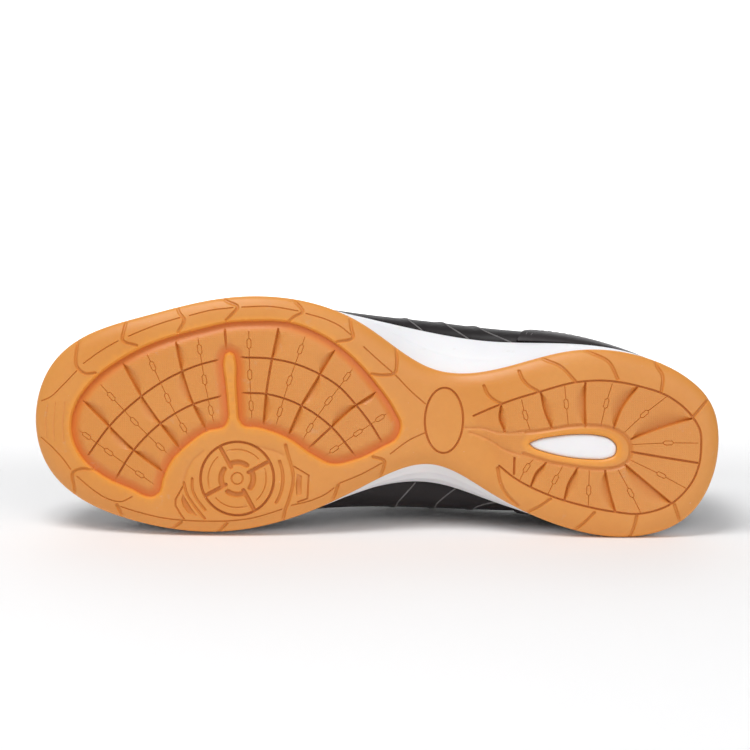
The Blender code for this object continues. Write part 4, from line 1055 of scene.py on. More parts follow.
def midsole_mesh():
    """White foam wedge with soft lengthwise ridges on its sides."""
    counts = rim_counts(2.4 * MM)
    line = closed_spline(row_loop(SOLE_ROWS), counts)
    last = closed_spline(row_loop(LAST_ROWS), counts)
    lips = lip_height(line[:, 0])
    lean = WALL_LEAN * (lips - PLATE - LIP)
    bumped = bumper(line[:, 0])
    sill = SILL + (CUP_WALL + FIT + lean - SILL) * bumped
    cup = CUP_WALL + FIT
    outer = inset(line, sill)
    top_height = WAIST_STACK
    scale = (top_height - PLATE) / (stack(line[:, 0]) - PLATE)
    sill_height = PLATE + (lips + FIT - PLATE) * scale
    middle = outer + (last - outer) * FOAM_FLARE
    middle += (inset(outer, -SILL) - outer) * (1 - bumped)[:, None]
    rings = [np.column_stack([inset(line, cup), np.full(len(line), PLATE + FIT)]),
             np.column_stack([inset(line, cup + lean), sill_height])]
    outward = inset(outer, -1.0) - outer
    along = share_along(line[:, 0])
    waist = smooth_step(along, 0.26, 0.36) * (1.0 - smooth_step(along, 0.56, 0.66))
    inner_side = line[:, 1] > 0
    shelf = 0.34 + 0.8 * (along - 0.42)
    sweep = 0.2 + 1.375 * (along - 0.25)
    for row in range(SIDE_ROWS + 1):
        t = row / SIDE_ROWS
        plan = outer * (2 * t - 1) * (t - 1) + middle * 4 * t * (1 - t) + last * t * (2 * t - 1)
        low_swell, high_swell, cut = (
            np.exp(-((t - centre) / width) ** 2)
            for centre, width in zip((shelf, shelf + 0.3, sweep), LINE_WIDTHS))
        bump_height = np.where(inner_side, 0.5 * low_swell + 0.4 * high_swell, -0.42 * cut)
        bump_height = bump_height * waist * MM
        roundness = 0.8 * MM * max(0.0, (t - 0.93) / 0.07) ** 2
        plan = plan + outward * (bump_height - roundness)[:, None]
        rings.append(np.column_stack([plan, sill_height + (top_height - sill_height) * t]))
    corners, polygons = solid_from(rings, 7.0 * MM)
    corners, polygons = with_island(corners, polygons)
    x, z = corners[:, 0], corners[:, 2]
    low = PLATE + FIT
    corners[:, 2] = lift(x) + low + (z - low) * (stack(x) - low) / (top_height - low)
    return finished("midsole_foam", corners, polygons)


def insole_mesh():
    """Cloth-covered sheet that fills the inside of the lasted edge."""
    last = closed_spline(row_loop(LAST_ROWS), rim_counts(3.0 * MM))
    edge = FOOT_INSET + UPPER_WALL + INSOLE_SIDE_GAP
    floor = 3 * FIT + UPPER_WALL
    rings = []
    for distance, share in INSOLE_ROWS:
        height = np.full(len(last), floor + share * INSOLE_THICKNESS)
        rings.append(np.column_stack([inset(last, edge + distance), height]))
    corners, polygons = solid_from(rings, 5.0 * MM)
    corners[:, 2] += lift(corners[:, 0]) + stack(corners[:, 0])
    return finished("insole_sheet", corners, polygons)


def reach(line, centre, direction):
    """Distance from a centre to a closed line in plan, along a direction."""
    first = line - centre
    second = np.roll(line, -1, axis=0) - centre
    side_first = first[:, 0] * direction[1] - first[:, 1] * direction[0]
    side_second = second[:, 0] * direction[1] - second[:, 1] * direction[0]
    crossing = (side_first > 0) != (side_second > 0)
    share = side_first[crossing] / (side_first[crossing] - side_second[crossing])
    points = first[crossing] + (second[crossing] - first[crossing]) * share[:, None]
    return float(np.max(points @ direction))


def throat_half(along):
    """Half the width of the throat, round at its front end."""
    t = max(along - THROAT_ROUND, 0.0) / (THROAT_FRONT - THROAT_ROUND)
    return THROAT_WIDTH / 2 * math.sqrt(max(1.0 - t * t, 0.0))


class Last:
    """Shape of the upper's outside, as ribs that run from the lasted edge to the instep."""

    def __init__(self):
        dense = [LINE_POINTS] * (2 * len(SOLE_ROWS) - 2)
        self.foot_line = closed_spline(row_loop(LAST_ROWS), dense)
        self.wide_line = closed_spline(row_loop(WIDE_ROWS), dense)

    def rib(self, along, direction):
        """One rib: its centre, direction, foot and widest reach, heights and fullness."""
        direction = np.array(direction, float)
        centre = place(along, float(follow(RIDGE_ROWS, 2, along)))
        foot = reach(self.foot_line, centre, direction) - FOOT_INSET
        foot_x = centre[0] + direction[0] * foot
        foot_along = share_along(foot_x)
        return {
            "centre": centre,
            "direction": direction,
            "foot": foot,
            "wide": reach(self.wide_line, centre, direction),
            "base": float(lift(foot_x) + stack(foot_x)) + FIT,
            "top": float(follow(RIDGE_ROWS, 1, along)) * INSTEP_HEIGHT,
            "full": float(follow(COLLAR_ROWS, 2, foot_along)),
            "collar": float(follow(COLLAR_ROWS, 1, foot_along)) * HEEL_HEIGHT,
            "along": foot_along,
            "section": along,
        }

    def point(self, rib, turn):
        """Point on a rib: -90 degrees at the foot, 0 where it is widest, 90 on the ridge."""
        level_wide = rib["base"] + FOOT_BULGE
        angle = math.radians(turn)
        if turn < 0.0:
            distance = rib["foot"] + (rib["wide"] - rib["foot"]) * math.cos(angle)
            height = level_wide + FOOT_BULGE * math.sin(angle)
        else:
            distance = rib["wide"] * max(math.cos(angle), 0.0) ** rib["full"]
            height = level_wide + (rib["top"] - level_wide) * math.sin(angle)
        plan = rib["centre"] + rib["direction"] * distance
        return Vector((plan[0], plan[1], height))

    def turn_at(self, rib, distance):
        """Turn on a rib where it has come within a distance of the middle line."""
        share = min(distance / rib["wide"], 1.0)
        return math.degrees(math.acos(share ** (1.0 / rib["full"])))

    def turn_up_to(self, rib, height):
        """Turn on a rib where it has risen to a height."""
        level_wide = rib["base"] + FOOT_BULGE
        room = rib["top"] - level_wide if height > level_wide else FOOT_BULGE
        return math.degrees(math.asin(max(-1.0, min((height - level_wide) / room, 1.0))))

    def above(self, along, across, offset):
        """Point at a distance over the surface, and the way out of it."""
        side = (0.0, math.copysign(1.0, across))
        here, ahead = (self.rib(spot, side) for spot in (along, along + 0.002))
        turn = min(self.turn_at(here, abs(across)), 89.998)
        point = self.point(here, turn)
        forward = self.point(ahead, turn) - point
        upward = self.point(here, turn + 2.0) - self.point(here, turn - 2.0)
        outward = forward.cross(upward).normalized() * math.copysign(1.0, across)
        return point + outward * offset, outward

    def edge_turn(self, rib):
        """Where a rib ends: at the collar, at the throat's edge, or on the ridge."""
        if rib["section"] >= THROAT_FRONT:
            return 90.0
        turn = self.turn_up_to(rib, rib["collar"])
        return min(turn, self.turn_at(rib, throat_half(rib["section"])))


def between(values, count):
    """More places through a row of them, spread as evenly as they are."""
    return np.interp(np.linspace(0, len(values) - 1, count), range(len(values)), values)


def all_ribs(last):
    """Ribs around the foot: outer side, toe, inner side, heel."""
    sections = np.concatenate([np.linspace(SECTION_PLACES[0], 0.262, 24),
                               np.linspace(0.264, 0.580, 150), np.linspace(0.584, 0.848, 68)])
    ribs = [last.rib(along, (0.0, -1.0)) for along in sections]
    for turn in range(1, 44):
        angle = math.radians(-90.0 - 180.0 * turn / 44)
        ribs.append(last.rib(sections[-1], (math.cos(angle), math.sin(angle))))
    ribs += [last.rib(along, (0.0, 1.0)) for along in sections[::-1]]
    for turn in range(1, 36):
        angle = math.radians(90.0 - 180.0 * turn / 36)
        ribs.append(last.rib(sections[0], (math.cos(angle), math.sin(angle))))
    return ribs


def upper_swell(rib, turn):
    """Height of the ridges and creases of the upper over its plain surface."""
    along = rib["section"]
    side = math.copysign(1.0, rib["direction"][1])
    height = 0.0
    if abs(rib["direction"][0]) < 0.01:
        for rib_side, *ridge in UPPER_RIBS:
            gap = (along - ridge_along(ridge, turn)) * SOLE_LENGTH
            if side == rib_side and abs(gap) < 2.5 * RIDGE_SPREAD:
                height += ridge_rise(turn) * math.exp(-(gap / RIDGE_SPREAD) ** 2)
        for middle, edge, depth, width in FLEX_CREASES:
            line = edge + (middle - edge) * float(smooth_step(turn, 0.0, 90.0))
            gap = (along - line) * SOLE_LENGTH
            fade = float(smooth_step(turn, 8.0, 40.0))
            height -= depth * math.exp(-(gap / width) ** 2) * fade
            height += 0.4 * depth * math.exp(-((gap - 1.6 * width) / width) ** 2) * fade
    return height


def ridge_along(places_along, turn):
    """Place along of a ridge at a turn, from its places at the edge, widest and top."""
    low, wide, high = places_along
    return float(follow([(-90.0, low), (-40.0, low + 0.72 * (wide - low)), (0.0, wide),
                         (62.0, high)], 1, turn))


def ridge_rise(turn):
    """Height of a ridge's crest at a turn: it fades out near the throat."""
    return RIDGE_RISE * (1.0 - float(smooth_step(turn, *RIDGE_FADE)))


def ridge_highlight_mesh(last):
    """Thin pale cord along the crest of every ridge of the upper: a painted highlight where the
    ridges catch the light.
    """
    corners, polygons = [], []
    for side, *ridge in UPPER_RIBS:
        points, outs = [], []
        for turn in np.linspace(-84.0, 60.0, 70):
            along = ridge_along(ridge, turn)
            rib, ahead = (last.rib(spot, (0.0, side)) for spot in (along, along + 0.002))
            here = last.point(rib, turn)
            upward = last.point(rib, turn + 1.0) - last.point(rib, turn - 1.0)
            out = (last.point(ahead, turn) - here).cross(upward).normalized() * side
            points.append(here + out * (ridge_rise(turn) - HIGHLIGHT_CORD_SINK))
            outs.append(out)
        tape(corners, polygons, points, outs, [2 * HIGHLIGHT_CORD_RADIUS] * len(points),
             2 * HIGHLIGHT_CORD_RADIUS)
    return finished("upper_piping", corners, polygons)


def upper_thing(last, materials):
    """Upper with a turned-in margin, padded collar and soft creases, and its lining."""
    work = bmesh.new()
    swell = {}
    padding = {}
    columns = []
    ridge_points = {}
    for rib in all_ribs(last):
        end = last.edge_turn(rib)
        foot_plan = rib["centre"] + rib["direction"] * (rib["foot"] - MARGIN)
        foot = Vector((*foot_plan, float(lift(foot_plan[0]) + stack(foot_plan[0])) + FIT))
        first = last.point(rib, -90.0)
        turns = [-80.0, -70.0, -60.0, -50.0, -40.0, -30.0, -20.0, -10.0]
        turns += [end * row / 34 for row in range(35)]
        column = [work.verts.new(point) for point in (foot, (foot + first) / 2, first)]
        for turn in turns:
            if turn >= 89.999:
                key = round(rib["section"], 6)
                if key not in ridge_points:
                    ridge_points[key] = work.verts.new(last.point(rib, 90.0))
                    swell[ridge_points[key]] = upper_swell(rib, 90.0)
                column.append(ridge_points[key])
                continue
            vertex = work.verts.new(last.point(rib, turn))
            swell[vertex] = upper_swell(rib, turn)
            if end < 90.0 and rib["section"] < 0.45:
                left = (end - turn) / max(end, 1.0)
                padding[vertex] = float(1.0 - smooth_step(left, 0.05, 0.42))
                padding[vertex] *= float(1.0 - smooth_step(rib["section"], 0.38, 0.43))
            column.append(vertex)
        columns.append(column)
    join_columns(work, columns + columns[:1])
    work.normal_update()
    for vertex, height in swell.items():
        vertex.co += vertex.normal * height
    work.verts.index_update()
    thick = {vertex.index: value for vertex, value in padding.items()}
    mesh = bpy.data.meshes.new("upper_leather")
    work.to_mesh(mesh)
    work.free()
    thing = bare_object("upper_leather", mesh)
    group = thing.vertex_groups.new(name="padding")
    for index, value in thick.items():
        group.add([index], value, "REPLACE")
    wall = thing.modifiers.new("wall", "SOLIDIFY")
    wall.thickness = COLLAR_PADDING
    wall.thickness_vertex_group = UPPER_WALL / COLLAR_PADDING
    wall.vertex_group = "padding"
    wall.offset = -1.0
    wall.use_even_offset = False
    wall.use_quality_normals = True
    wall.material_offset = 1
    wall.material_offset_rim = 0
    for material in materials:
        mesh.materials.append(material)
    keep_modified(thing)
    return thing


def join_columns(work, columns):
    """Faces between neighbouring columns of vertices, looking outwards."""
    for column, following in zip(columns, columns[1:]):
        for row in range(len(column) - 1):
            corners = [column[row], column[row + 1], following[row + 1], following[row]]
            unique = [vertex for i, vertex in enumerate(corners) if vertex not in corners[:i]]
            if len(unique) > 2:
                work.faces.new(unique)


def select_only(thing):
    """Makes an object the only one selected, and the active one."""
    bpy.ops.object.select_all(action="DESELECT")
    thing.select_set(True)
    bpy.context.view_layer.objects.active = thing


def bare_object(name, mesh):
    """Object of a mesh, the only one selected."""
    thing = bpy.data.objects.new(name, mesh)
    bpy.context.scene.collection.objects.link(thing)
    select_only(thing)
    return thing


def keep_modified(thing):
    """Applies an object's modifiers."""
    select_only(thing)
    for modifier in list(thing.modifiers):
        bpy.ops.object.modifier_apply(modifier=modifier.name)


def overlay_thing(name, columns, offset, thickness, side, edge, material):
    """Sheet that follows the upper at an offset, with softened edges."""
    work = bmesh.new()
    rows = [[work.verts.new(point) for point in column] for column in columns]
    join_columns(work, rows)
    bmesh.ops.remove_doubles(work, verts=work.verts, dist=WELD)
    work.normal_update()
    for vertex in work.verts:
        vertex.co += vertex.normal * offset
    mesh = bpy.data.meshes.new(name)
    work.to_mesh(mesh)
    work.free()
    mesh.materials.append(material)
    thing = bare_object(name, mesh)
    wall = thing.modifiers.new("wall", "SOLIDIFY")
    wall.thickness = thickness
    wall.offset = side
    wall.use_quality_normals = True
    soft = thing.modifiers.new("soft", "BEVEL")
    soft.width = edge
    soft.segments = 2
    soft.limit_method = "ANGLE"
    soft.angle_limit = math.radians(50.0)
    keep_modified(thing)
    return thing


def tongue_thing(last, material):
    """Padded tongue: full in the middle and thin at its edges."""
    columns = []
    for along in np.linspace(TONGUE_TOP, TONGUE_END, 56):
        narrow = 1.0 - TONGUE_TAPER * float(smooth_step(along, TONGUE_TAPER_START, TONGUE_END))
        column = []
        for side, shares in ((-1.0, np.linspace(0, 1, 15)), (1.0, np.linspace(1, 0, 15)[1:])):
            rib = last.rib(along, (0.0, side))
            low = last.turn_at(rib, narrow * TONGUE_WIDTH / 2)
            column += [last.point(rib, low + (90.0 - low) * share) for share in shares]
        columns.append(column)
    return overlay_thing("tongue_padded", columns, -(UPPER_WALL + TONGUE_GAP),
                         TONGUE_THICKNESS, -1.0, TONGUE_EDGE, material)


def eyestay_columns(last, rows=13):
    """Columns of points over the upper, from the eyestay's outer edge to the throat."""
    sections = [along for along in between(SECTION_PLACES, 330)
                if THROAT_BACK <= along < EYESTAY_ROUND - 0.001]
    turns = np.linspace(0.0, math.radians(89.0), 48)
    sections += list(EYESTAY_ROUND + (EYESTAY_FRONT - EYESTAY_ROUND) * np.sin(turns))
    columns = []
    for side, spots in ((-1.0, sections), (1.0, sections[::-1])):
        for along in spots:
            rib = last.rib(along, (0.0, side))
            t = max(along - EYESTAY_ROUND, 0.0) / (EYESTAY_FRONT - EYESTAY_ROUND)
            out = (THROAT_WIDTH / 2 + EYESTAY_WIDTH) * math.sqrt(max(1.0 - t * t, 0.0))
            low = last.turn_at(rib, out)
            high = 90.0
            if along < THROAT_FRONT:
                high = last.turn_at(rib, throat_half(along) + EYESTAY_EDGE)
                high = min(high, last.edge_turn(rib) - 1.0)
            columns.append([last.point(rib, low + (high - low) * row / (rows - 1))
                            for row in range(rows)])
    return columns


def counter_columns(last, rows=22):
    """Columns of points over the heel, up to the counter's edge, which falls to the sole."""
    back, tip = SECTION_PLACES[0], COUNTER_ROWS[-1][0]
    spots = back + (tip - back) * np.sin(np.linspace(0.0, math.pi / 2, 46))
    ribs = [last.rib(along, (0.0, 1.0)) for along in spots[::-1]]
    for turn in range(1, 40):
        angle = math.radians(90.0 - 180.0 * turn / 40)
        ribs.append(last.rib(back, (math.cos(angle), math.sin(angle))))
    ribs += [last.rib(along, (0.0, -1.0)) for along in spots]
    columns = []
    for rib in ribs:
        height = float(follow(COUNTER_ROWS, 1, rib["along"])) * COUNTER_HEIGHT
        high = max(last.turn_up_to(rib, height), COUNTER_TURN + 0.1)
        shares = 1.0 - (1.0 - np.linspace(0.0, 1.0, rows)) ** 1.4
        turns = COUNTER_TURN + (high - COUNTER_TURN) * shares
        columns.append([last.point(rib, turn) for turn in turns])
    return columns


def seam_line(thing, edge, within, distance):
    """Points on a sheet at a distance inside its edge, and the ways out there."""
    mesh = thing.data
    skin = BVHTree.FromPolygons([corner.co for corner in mesh.vertices],
                                [face.vertices for face in mesh.polygons])
    middle = Vector((*place(0.40, -0.04), 0.45 * INSTEP_HEIGHT))
    points, outs = [], []
    for before, here, after, inner in zip(edge, edge[1:], edge[2:], within[1:]):
        way = (after - before).normalized()
        inward = inner - here
        inward = (inward - way * inward.dot(way)).normalized()
        out = way.cross(inward)
        if out.dot(here - middle) < 0.0:
            out.negate()
        point, outward, _, _ = skin.find_nearest(here + inward * distance + out * 1.5 * MM)
        points.append(point)
        outs.append(outward)
    return points, outs


def add_tube(corners, polygons, rings):
    """Adds a closed tube through rings of corners."""
    first, size = len(corners), len(rings[0])
    for ring in rings:
        corners += ring
    end = first + (len(rings) - 1) * size
    for low in range(first, end, size):
        bridge(polygons, range(low, low + size), range(low + size, low + 2 * size))
    polygons.append(tuple(range(first, first + size))[::-1])
    polygons.append(tuple(range(end, end + size)))


def stitch_mesh(name, seams, pitch, length, radius):
    """Short rounded stitches along rows of points."""
    corners, polygons = [], []
    turns = [math.tau * corner / 6 for corner in range(6)]
    for points, outs in seams:
        steps = [0.0]
        for here, there in zip(points, points[1:]):
            steps.append(steps[-1] + (there - here).length)
        count = int(steps[-1] / pitch)
        for number in range(count):
            middle = (number + 0.5) * steps[-1] / count
            spots = [np.array([np.interp(middle + shift, steps, [p[axis] for p in points])
                               for axis in range(3)]) for shift in (-length / 2, length / 2)]
            near = int(np.searchsorted(steps, middle))
            out = outs[min(near, len(outs) - 1)]
            way = Vector(spots[1] - spots[0])
            if way.length < length / 4:
                continue
            way.normalize()
            across = way.cross(out).normalized()
            out = across.cross(way)
            centre = (Vector(spots[0]) + Vector(spots[1])) / 2
            rings = []
            for share, size, sink in STITCH_RINGS:
                spot = centre + way * share * length / 2 + out * sink * radius
                rings.append([spot + (across * math.cos(angle) + out * math.sin(angle))
                              * radius * size for angle in turns])
            add_tube(corners, polygons, rings)
    return finished(name, corners, polygons)


def tape(corners, polygons, points, outs, widths, thickness):
    """Adds a flat or round cord along points, with the way out of the surface at each."""
    turns = [math.tau * corner / 10 for corner in range(10)]
    rings = []
    for number, (point, out) in enumerate(zip(points, outs)):
        ahead = points[min(number + 1, len(points) - 1)] - points[max(number - 1, 0)]
        ahead.normalize()
        across = ahead.cross(out)
        across.normalize()
        normal = across.cross(ahead)
        ring = []
        for turn in turns:
            flat = math.copysign(abs(math.cos(turn)) ** 0.7, math.cos(turn))
            thick = math.copysign(abs(math.sin(turn)) ** 0.8, math.sin(turn))
            ring.append(point + across * flat * widths[number] / 2
                        + normal * thick * thickness / 2)
        rings.append(ring)
    add_tube(corners, polygons, rings)


def smooth_path(points, step):
    """Even points along a smooth path in space."""
    points = np.array([tuple(point) for point in points])
    knots = np.concatenate([[0.0], np.cumsum(np.linalg.norm(np.diff(points, axis=0), axis=1))])
    slopes = np.gradient(points, knots, axis=0)
    result = []
    for i in range(len(points) - 1):
        chord = knots[i + 1] - knots[i]
        for t in np.arange(0.0, 1.0, 1.0 / max(2, round(chord / step))):
            result.append(Vector(ease(points[i], points[i + 1], slopes[i] * chord,
                                      slopes[i + 1] * chord, t)))
    result.append(Vector(points[-1]))
    return result


def lace_mesh(last, width, thickness):
    """Flat lace that crosses the throat and runs through every eyelet."""
    over = OVERLAY_GAP + OVERLAY_WALL + thickness / 2 + LACE_GAP
    corners, polygons = [], []

    def run(spots):
        """One stretch of lace through spots: along, across, height and width."""
        points, outs = zip(*(last.above(along, across or LACE_MIDDLE, height)
                             for along, across, height, _ in spots))
        path = smooth_path(points, LACE_STEP)
        widths, path_outs = [], []
        rough = np.array([tuple(point) for point in points])
        for spot in path:
            gaps = np.linalg.norm(rough - np.array(spot), axis=1)
            weights = 1.0 / (gaps + 0.4 * MM) ** 3
            weights /= weights.sum()
            out = Vector((0.0, 0.0, 0.0))
            for weight, way in zip(weights, outs):
                out += way * float(weight)
            path_outs.append(out.normalized())
            widths.append(float(np.dot(weights, [row[3] for row in spots])))
        tape(corners, polygons, path, path_outs, widths, thickness)

    for level_number, along in enumerate(EYELET_PLACES):
        half = throat_half(along)
        eyelet = half + EYELET_EDGE
        if level_number == 0:
            run([(along, -eyelet - 0.5 * MM, -UPPER_WALL * 0.6, 0.7 * width),
                 (along, -eyelet + 0.7 * MM, over, 0.8 * width),
                 (along, -half, over, width), (along, 0.0, over - 0.8 * MM, width),
                 (along, half, over, width), (along, eyelet - 0.7 * MM, over, 0.8 * width),
                 (along, eyelet + 0.5 * MM, -UPPER_WALL * 0.6, 0.7 * width)])
            continue
        below = EYELET_PLACES[level_number - 1]
        low_half = throat_half(below)
        low_eyelet = low_half + EYELET_EDGE
        for side in (-1.0, 1.0):
            raise_by = 1.15 * thickness if (side > 0) == (level_number % 2 == 0) else 0.0
            middle = (below + along) / 2
            step = (along - below)
            run([(below, side * (low_eyelet + 0.3 * MM), -UPPER_WALL * 0.4, 0.66 * width),
                 (below + 0.04 * step, side * (low_eyelet - 1.0 * MM), over, 0.8 * width),
                 (below + 0.22 * step, side * (low_half + 1.0 * MM), over, width),
                 (below + 0.38 * step, side * 0.55 * low_half, over * 0.3 + raise_by, width),
                 (middle, 0.0, over * 0.1 + raise_by, width),
                 (middle + 0.12 * step, -side * 0.55 * half, over * 0.3 + raise_by, width),
                 (along - 0.22 * step, -side * (half + 1.0 * MM), over, width),
                 (along - 0.04 * step, -side * (eyelet - 1.0 * MM), over, 0.8 * width),
                 (along, -side * (eyelet + 0.3 * MM), -UPPER_WALL * 0.4, 0.66 * width)])
    return finished("lace_flat", corners, polygons)


# Middle of the picture on the standing shoe's ground
PICTURE_CENTRE = (-1.03 * MM, -23.2 * MM, 0.0)
# Floor that bends up into a wall behind the shoe: distance behind it, height
FLOOR_ROWS = [(-4.0, 0.0), (1.2, 0.0), (1.7, 0.08), (2.05, 0.32), (2.2, 0.75), (2.25, 3.5)]
# Soft lights: name, place, what they look at, size, and the setting with their power
LIGHTS = [
    ("key", (-0.35, -0.5, 1.25), (0.0, 0.0, 0.05), 0.7, "key_power"),
    ("fill", (0.75, -1.4, 0.7), (0.0, 0.0, 0.05), 1.3, "fill_power"),
    ("backdrop", (0.0, 0.7, 1.3), (0.0, 2.2, 0.6), 1.6, "back_power"),
]


def wire(tree, node, inputs):
    """Gives a node's inputs their values or links."""
    for name, value in inputs.items():
        if isinstance(value, bpy.types.NodeSocket):
            tree.links.new(value, node.inputs[name])
        else:
            node.inputs[name].default_value = value


def add(tree, kind, inputs=None, **settings):
    """New shader node with its settings, and values or links for its inputs."""
    node = tree.nodes.new(kind)
    for name, value in settings.items():
        setattr(node, name, value)
    wire(tree, node, inputs or {})
    return node


def new_material(name):
    """Material with its node tree, its shader and object coordinates."""
    material = bpy.data.materials.new(name)
    material.use_nodes = True
    tree = material.node_tree
    place_of = add(tree, "ShaderNodeTexCoord").outputs["Object"]
    return material, tree, tree.nodes["Principled BSDF"], place_of


def blend(tree, factor, first, second):
    """Colour between two colours or sockets."""
    first, second = ((*value, 1.0) if isinstance(value, tuple) else value
                     for value in (first, second))
    return add(tree, "ShaderNodeMix", {0: factor, 6: first, 7: second},
               data_type="RGBA").outputs[2]


def maths(tree, operation, first, second):
    """Result of one sum on two values or sockets."""
    return add(tree, "ShaderNodeMath", {0: first, 1: second}, operation=operation).outputs[0]


def tone(colour, factors):
    """Colour with each of its parts multiplied, up to white."""
    return tuple(min(1.0, part * factor) for part, factor in zip(colour, factors))


def span(tree, value, low, high, to_low=0.0, to_high=1.0):
    """Value taken from one span to another, kept between its ends."""
    node = add(tree, "ShaderNodeMapRange", {"Value": value, "From Min": low, "From Max": high,
                                            "To Min": to_low, "To Max": to_high})
    return node.outputs[0]


def noise(tree, place_of, scale, detail=3.0, roughness=0.55):
    """Noise over a place."""
    return add(tree, "ShaderNodeTexNoise", {"Vector": place_of, "Scale": scale, "Detail": detail,
                                            "Roughness": roughness}).outputs[0]


def surface(tree, shader, colour, roughness, bumps, others):
    """Gives a shader its colour, roughness and other values, and its bumps: the height,
    strength and depth of each."""
    wire(tree, shader, {"Base Color": colour, "Roughness": roughness, **others})
    normal = None
    for height, strength, depth in bumps:
        node = add(tree, "ShaderNodeBump", {"Height": height, "Strength": strength,
                                            "Distance": depth})
        if normal is not None:
            tree.links.new(normal, node.inputs["Normal"])
        normal = node.outputs[0]
    tree.links.new(normal, shader.inputs["Normal"])


def weave(tree, place_of, scale, axes=("X", "Z")):
    """Crossed threads, as a height."""
    waves = [add(tree, "ShaderNodeTexWave", {"Vector": place_of, "Scale": scale,
                                             "Distortion": 0.4, "Detail": 1.0,
                                             "Detail Scale": 2.0}, bands_direction=axis).outputs[1]
             for axis in axes]
    return maths(tree, "MULTIPLY", waves[0], waves[1])


def gum(base):
    """Gum rubber: warm tan, with painted shade that makes its grooves, crescents, moat and pockets
    redder and a painted highlight that makes its lips lighter.
    """
    material, tree, shader, place_of = new_material("gum_rubber")
    marks = {name: add(tree, "ShaderNodeAttribute", attribute_name=name).outputs["Fac"]
             for name in ("groove", "moat", "panel", "glow")}
    cloud = noise(tree, place_of, 22.0)
    grain = noise(tree, place_of, 420.0, 4.0)
    colour = blend(tree, span(tree, cloud, 0.35, 0.7), base, tone(base, (1.0496, 1.1196, 1.2885)))
    colour = blend(tree, span(tree, grain, 0.3, 0.8, 0.0, 0.16), colour,
                   tone(base, (0.8085, 0.7609, 0.8654)))
    # Panels' own tone, painted shade in the moat and the grooves, painted highlight along the lips
    for mark, strength, factors in (
            ("panel", 0.24, (0.9078, 0.7971, 0.8654)), ("moat", 0.9, (0.9362, 0.5254, 0.2308)),
            ("groove", 0.7, (0.7518, 0.4710, 0.1538)), ("glow", 0.6, (1.2482, 1.2681, 0.6731))):
        share = maths(tree, "MULTIPLY", marks[mark], strength)
        colour = blend(tree, share, colour, tone(base, factors))
    dust = span(tree, noise(tree, place_of, 95.0, 6.0, 0.7), 0.63, 0.74, 0.0, 0.34)
    colour = blend(tree, dust, colour, (0.62, 0.40, 0.27))
    speck = span(tree, noise(tree, place_of, 700.0, 2.0), 0.76, 0.8, 0.0, 0.5)
    colour = blend(tree, speck, colour, (0.86, 0.60, 0.45))
    threads = maths(tree, "MULTIPLY", weave(tree, place_of, 330.0), marks["panel"])
    surface(tree, shader, colour, span(tree, cloud, 0.3, 0.7, 0.40, 0.54),
            [(threads, 0.55, 0.00012), (grain, 0.22, 0.00012),
             (noise(tree, place_of, 60.0), 0.10, 0.0006)],
            {"Coat Weight": 0.10, "Coat Roughness": 0.35, "Subsurface Weight": 0.12,
             "Subsurface Radius": (1.0, 0.35, 0.08), "Subsurface Scale": 0.0014})
    return material


def foam(base):
    """Moulded foam with a faint skin and a little soil."""
    material, tree, shader, place_of = new_material("white_foam")
    cloud = noise(tree, place_of, 30.0)
    colour = blend(tree, span(tree, cloud, 0.35, 0.7), base, tone(base, (1.0465, 1.0465, 1.0395)))
    soil = span(tree, noise(tree, place_of, 130.0, 6.0, 0.7), 0.62, 0.74, 0.0, 0.30)
    colour = blend(tree, soil, colour, (0.66, 0.60, 0.54))
    surface(tree, shader, colour, span(tree, cloud, 0.3, 0.7, 0.48, 0.62),
            [(noise(tree, place_of, 900.0, 3.0), 0.18, 0.0001),
             (noise(tree, place_of, 45.0), 0.16, 0.0005)],
            {"Coat Weight": 0.06, "Coat Roughness": 0.4, "Subsurface Weight": 0.08,
             "Subsurface Scale": 0.002})
    return material


def leather(name, base, smoothness):
    """Leather with a fine pebbled grain, worn a little lighter here and there."""
    material, tree, shader, place_of = new_material(name)
    cells = add(tree, "ShaderNodeTexVoronoi", {"Vector": place_of, "Scale": 620.0,
                                               "Randomness": 0.9}).outputs["Distance"]
    cloud = noise(tree, place_of, 40.0)
    shade = 1.0 + 0.55 * smoothness
    colour = blend(tree, span(tree, cloud, 0.35, 0.7), tone(base, (shade, shade, shade)),
                   tone(base, (1.7368 * shade, 1.8310 * shade, 1.8182 * shade)))
    rubbed = span(tree, noise(tree, place_of, 160.0, 6.0, 0.7), 0.6, 0.78, 0.0, 0.35)
    colour = blend(tree, rubbed, colour, tone(base, (4.0, 4.7887, 4.5455)))
    low = 0.44 - 0.08 * smoothness
    surface(tree, shader, colour, span(tree, cloud, 0.3, 0.7, low, low + 0.16),
            [(cells, 0.30 - 0.12 * smoothness, 0.00016),
             (noise(tree, place_of, 1800.0), 0.12, 0.00008),
             (noise(tree, place_of, 55.0), 0.22, 0.0009)],
            {"Specular IOR Level": 0.30, "Coat Weight": 0.03 + 0.05 * smoothness,
             "Coat Roughness": 0.35})
    return material


def piping():
    """Pale grey of the cord on the upper's ridges, a painted highlight, lighter here and there."""
    material, tree, shader, place_of = new_material("piping")
    cloud = noise(tree, place_of, 240.0, 4.0)
    colour = blend(tree, span(tree, cloud, 0.35, 0.7), (0.105, 0.098, 0.100),
                   (0.190, 0.180, 0.180))
    surface(tree, shader, colour, span(tree, cloud, 0.3, 0.7, 0.45, 0.6),
            [(noise(tree, place_of, 900.0), 0.2, 0.0001)], {"Coat Weight": 0.05})
    return material


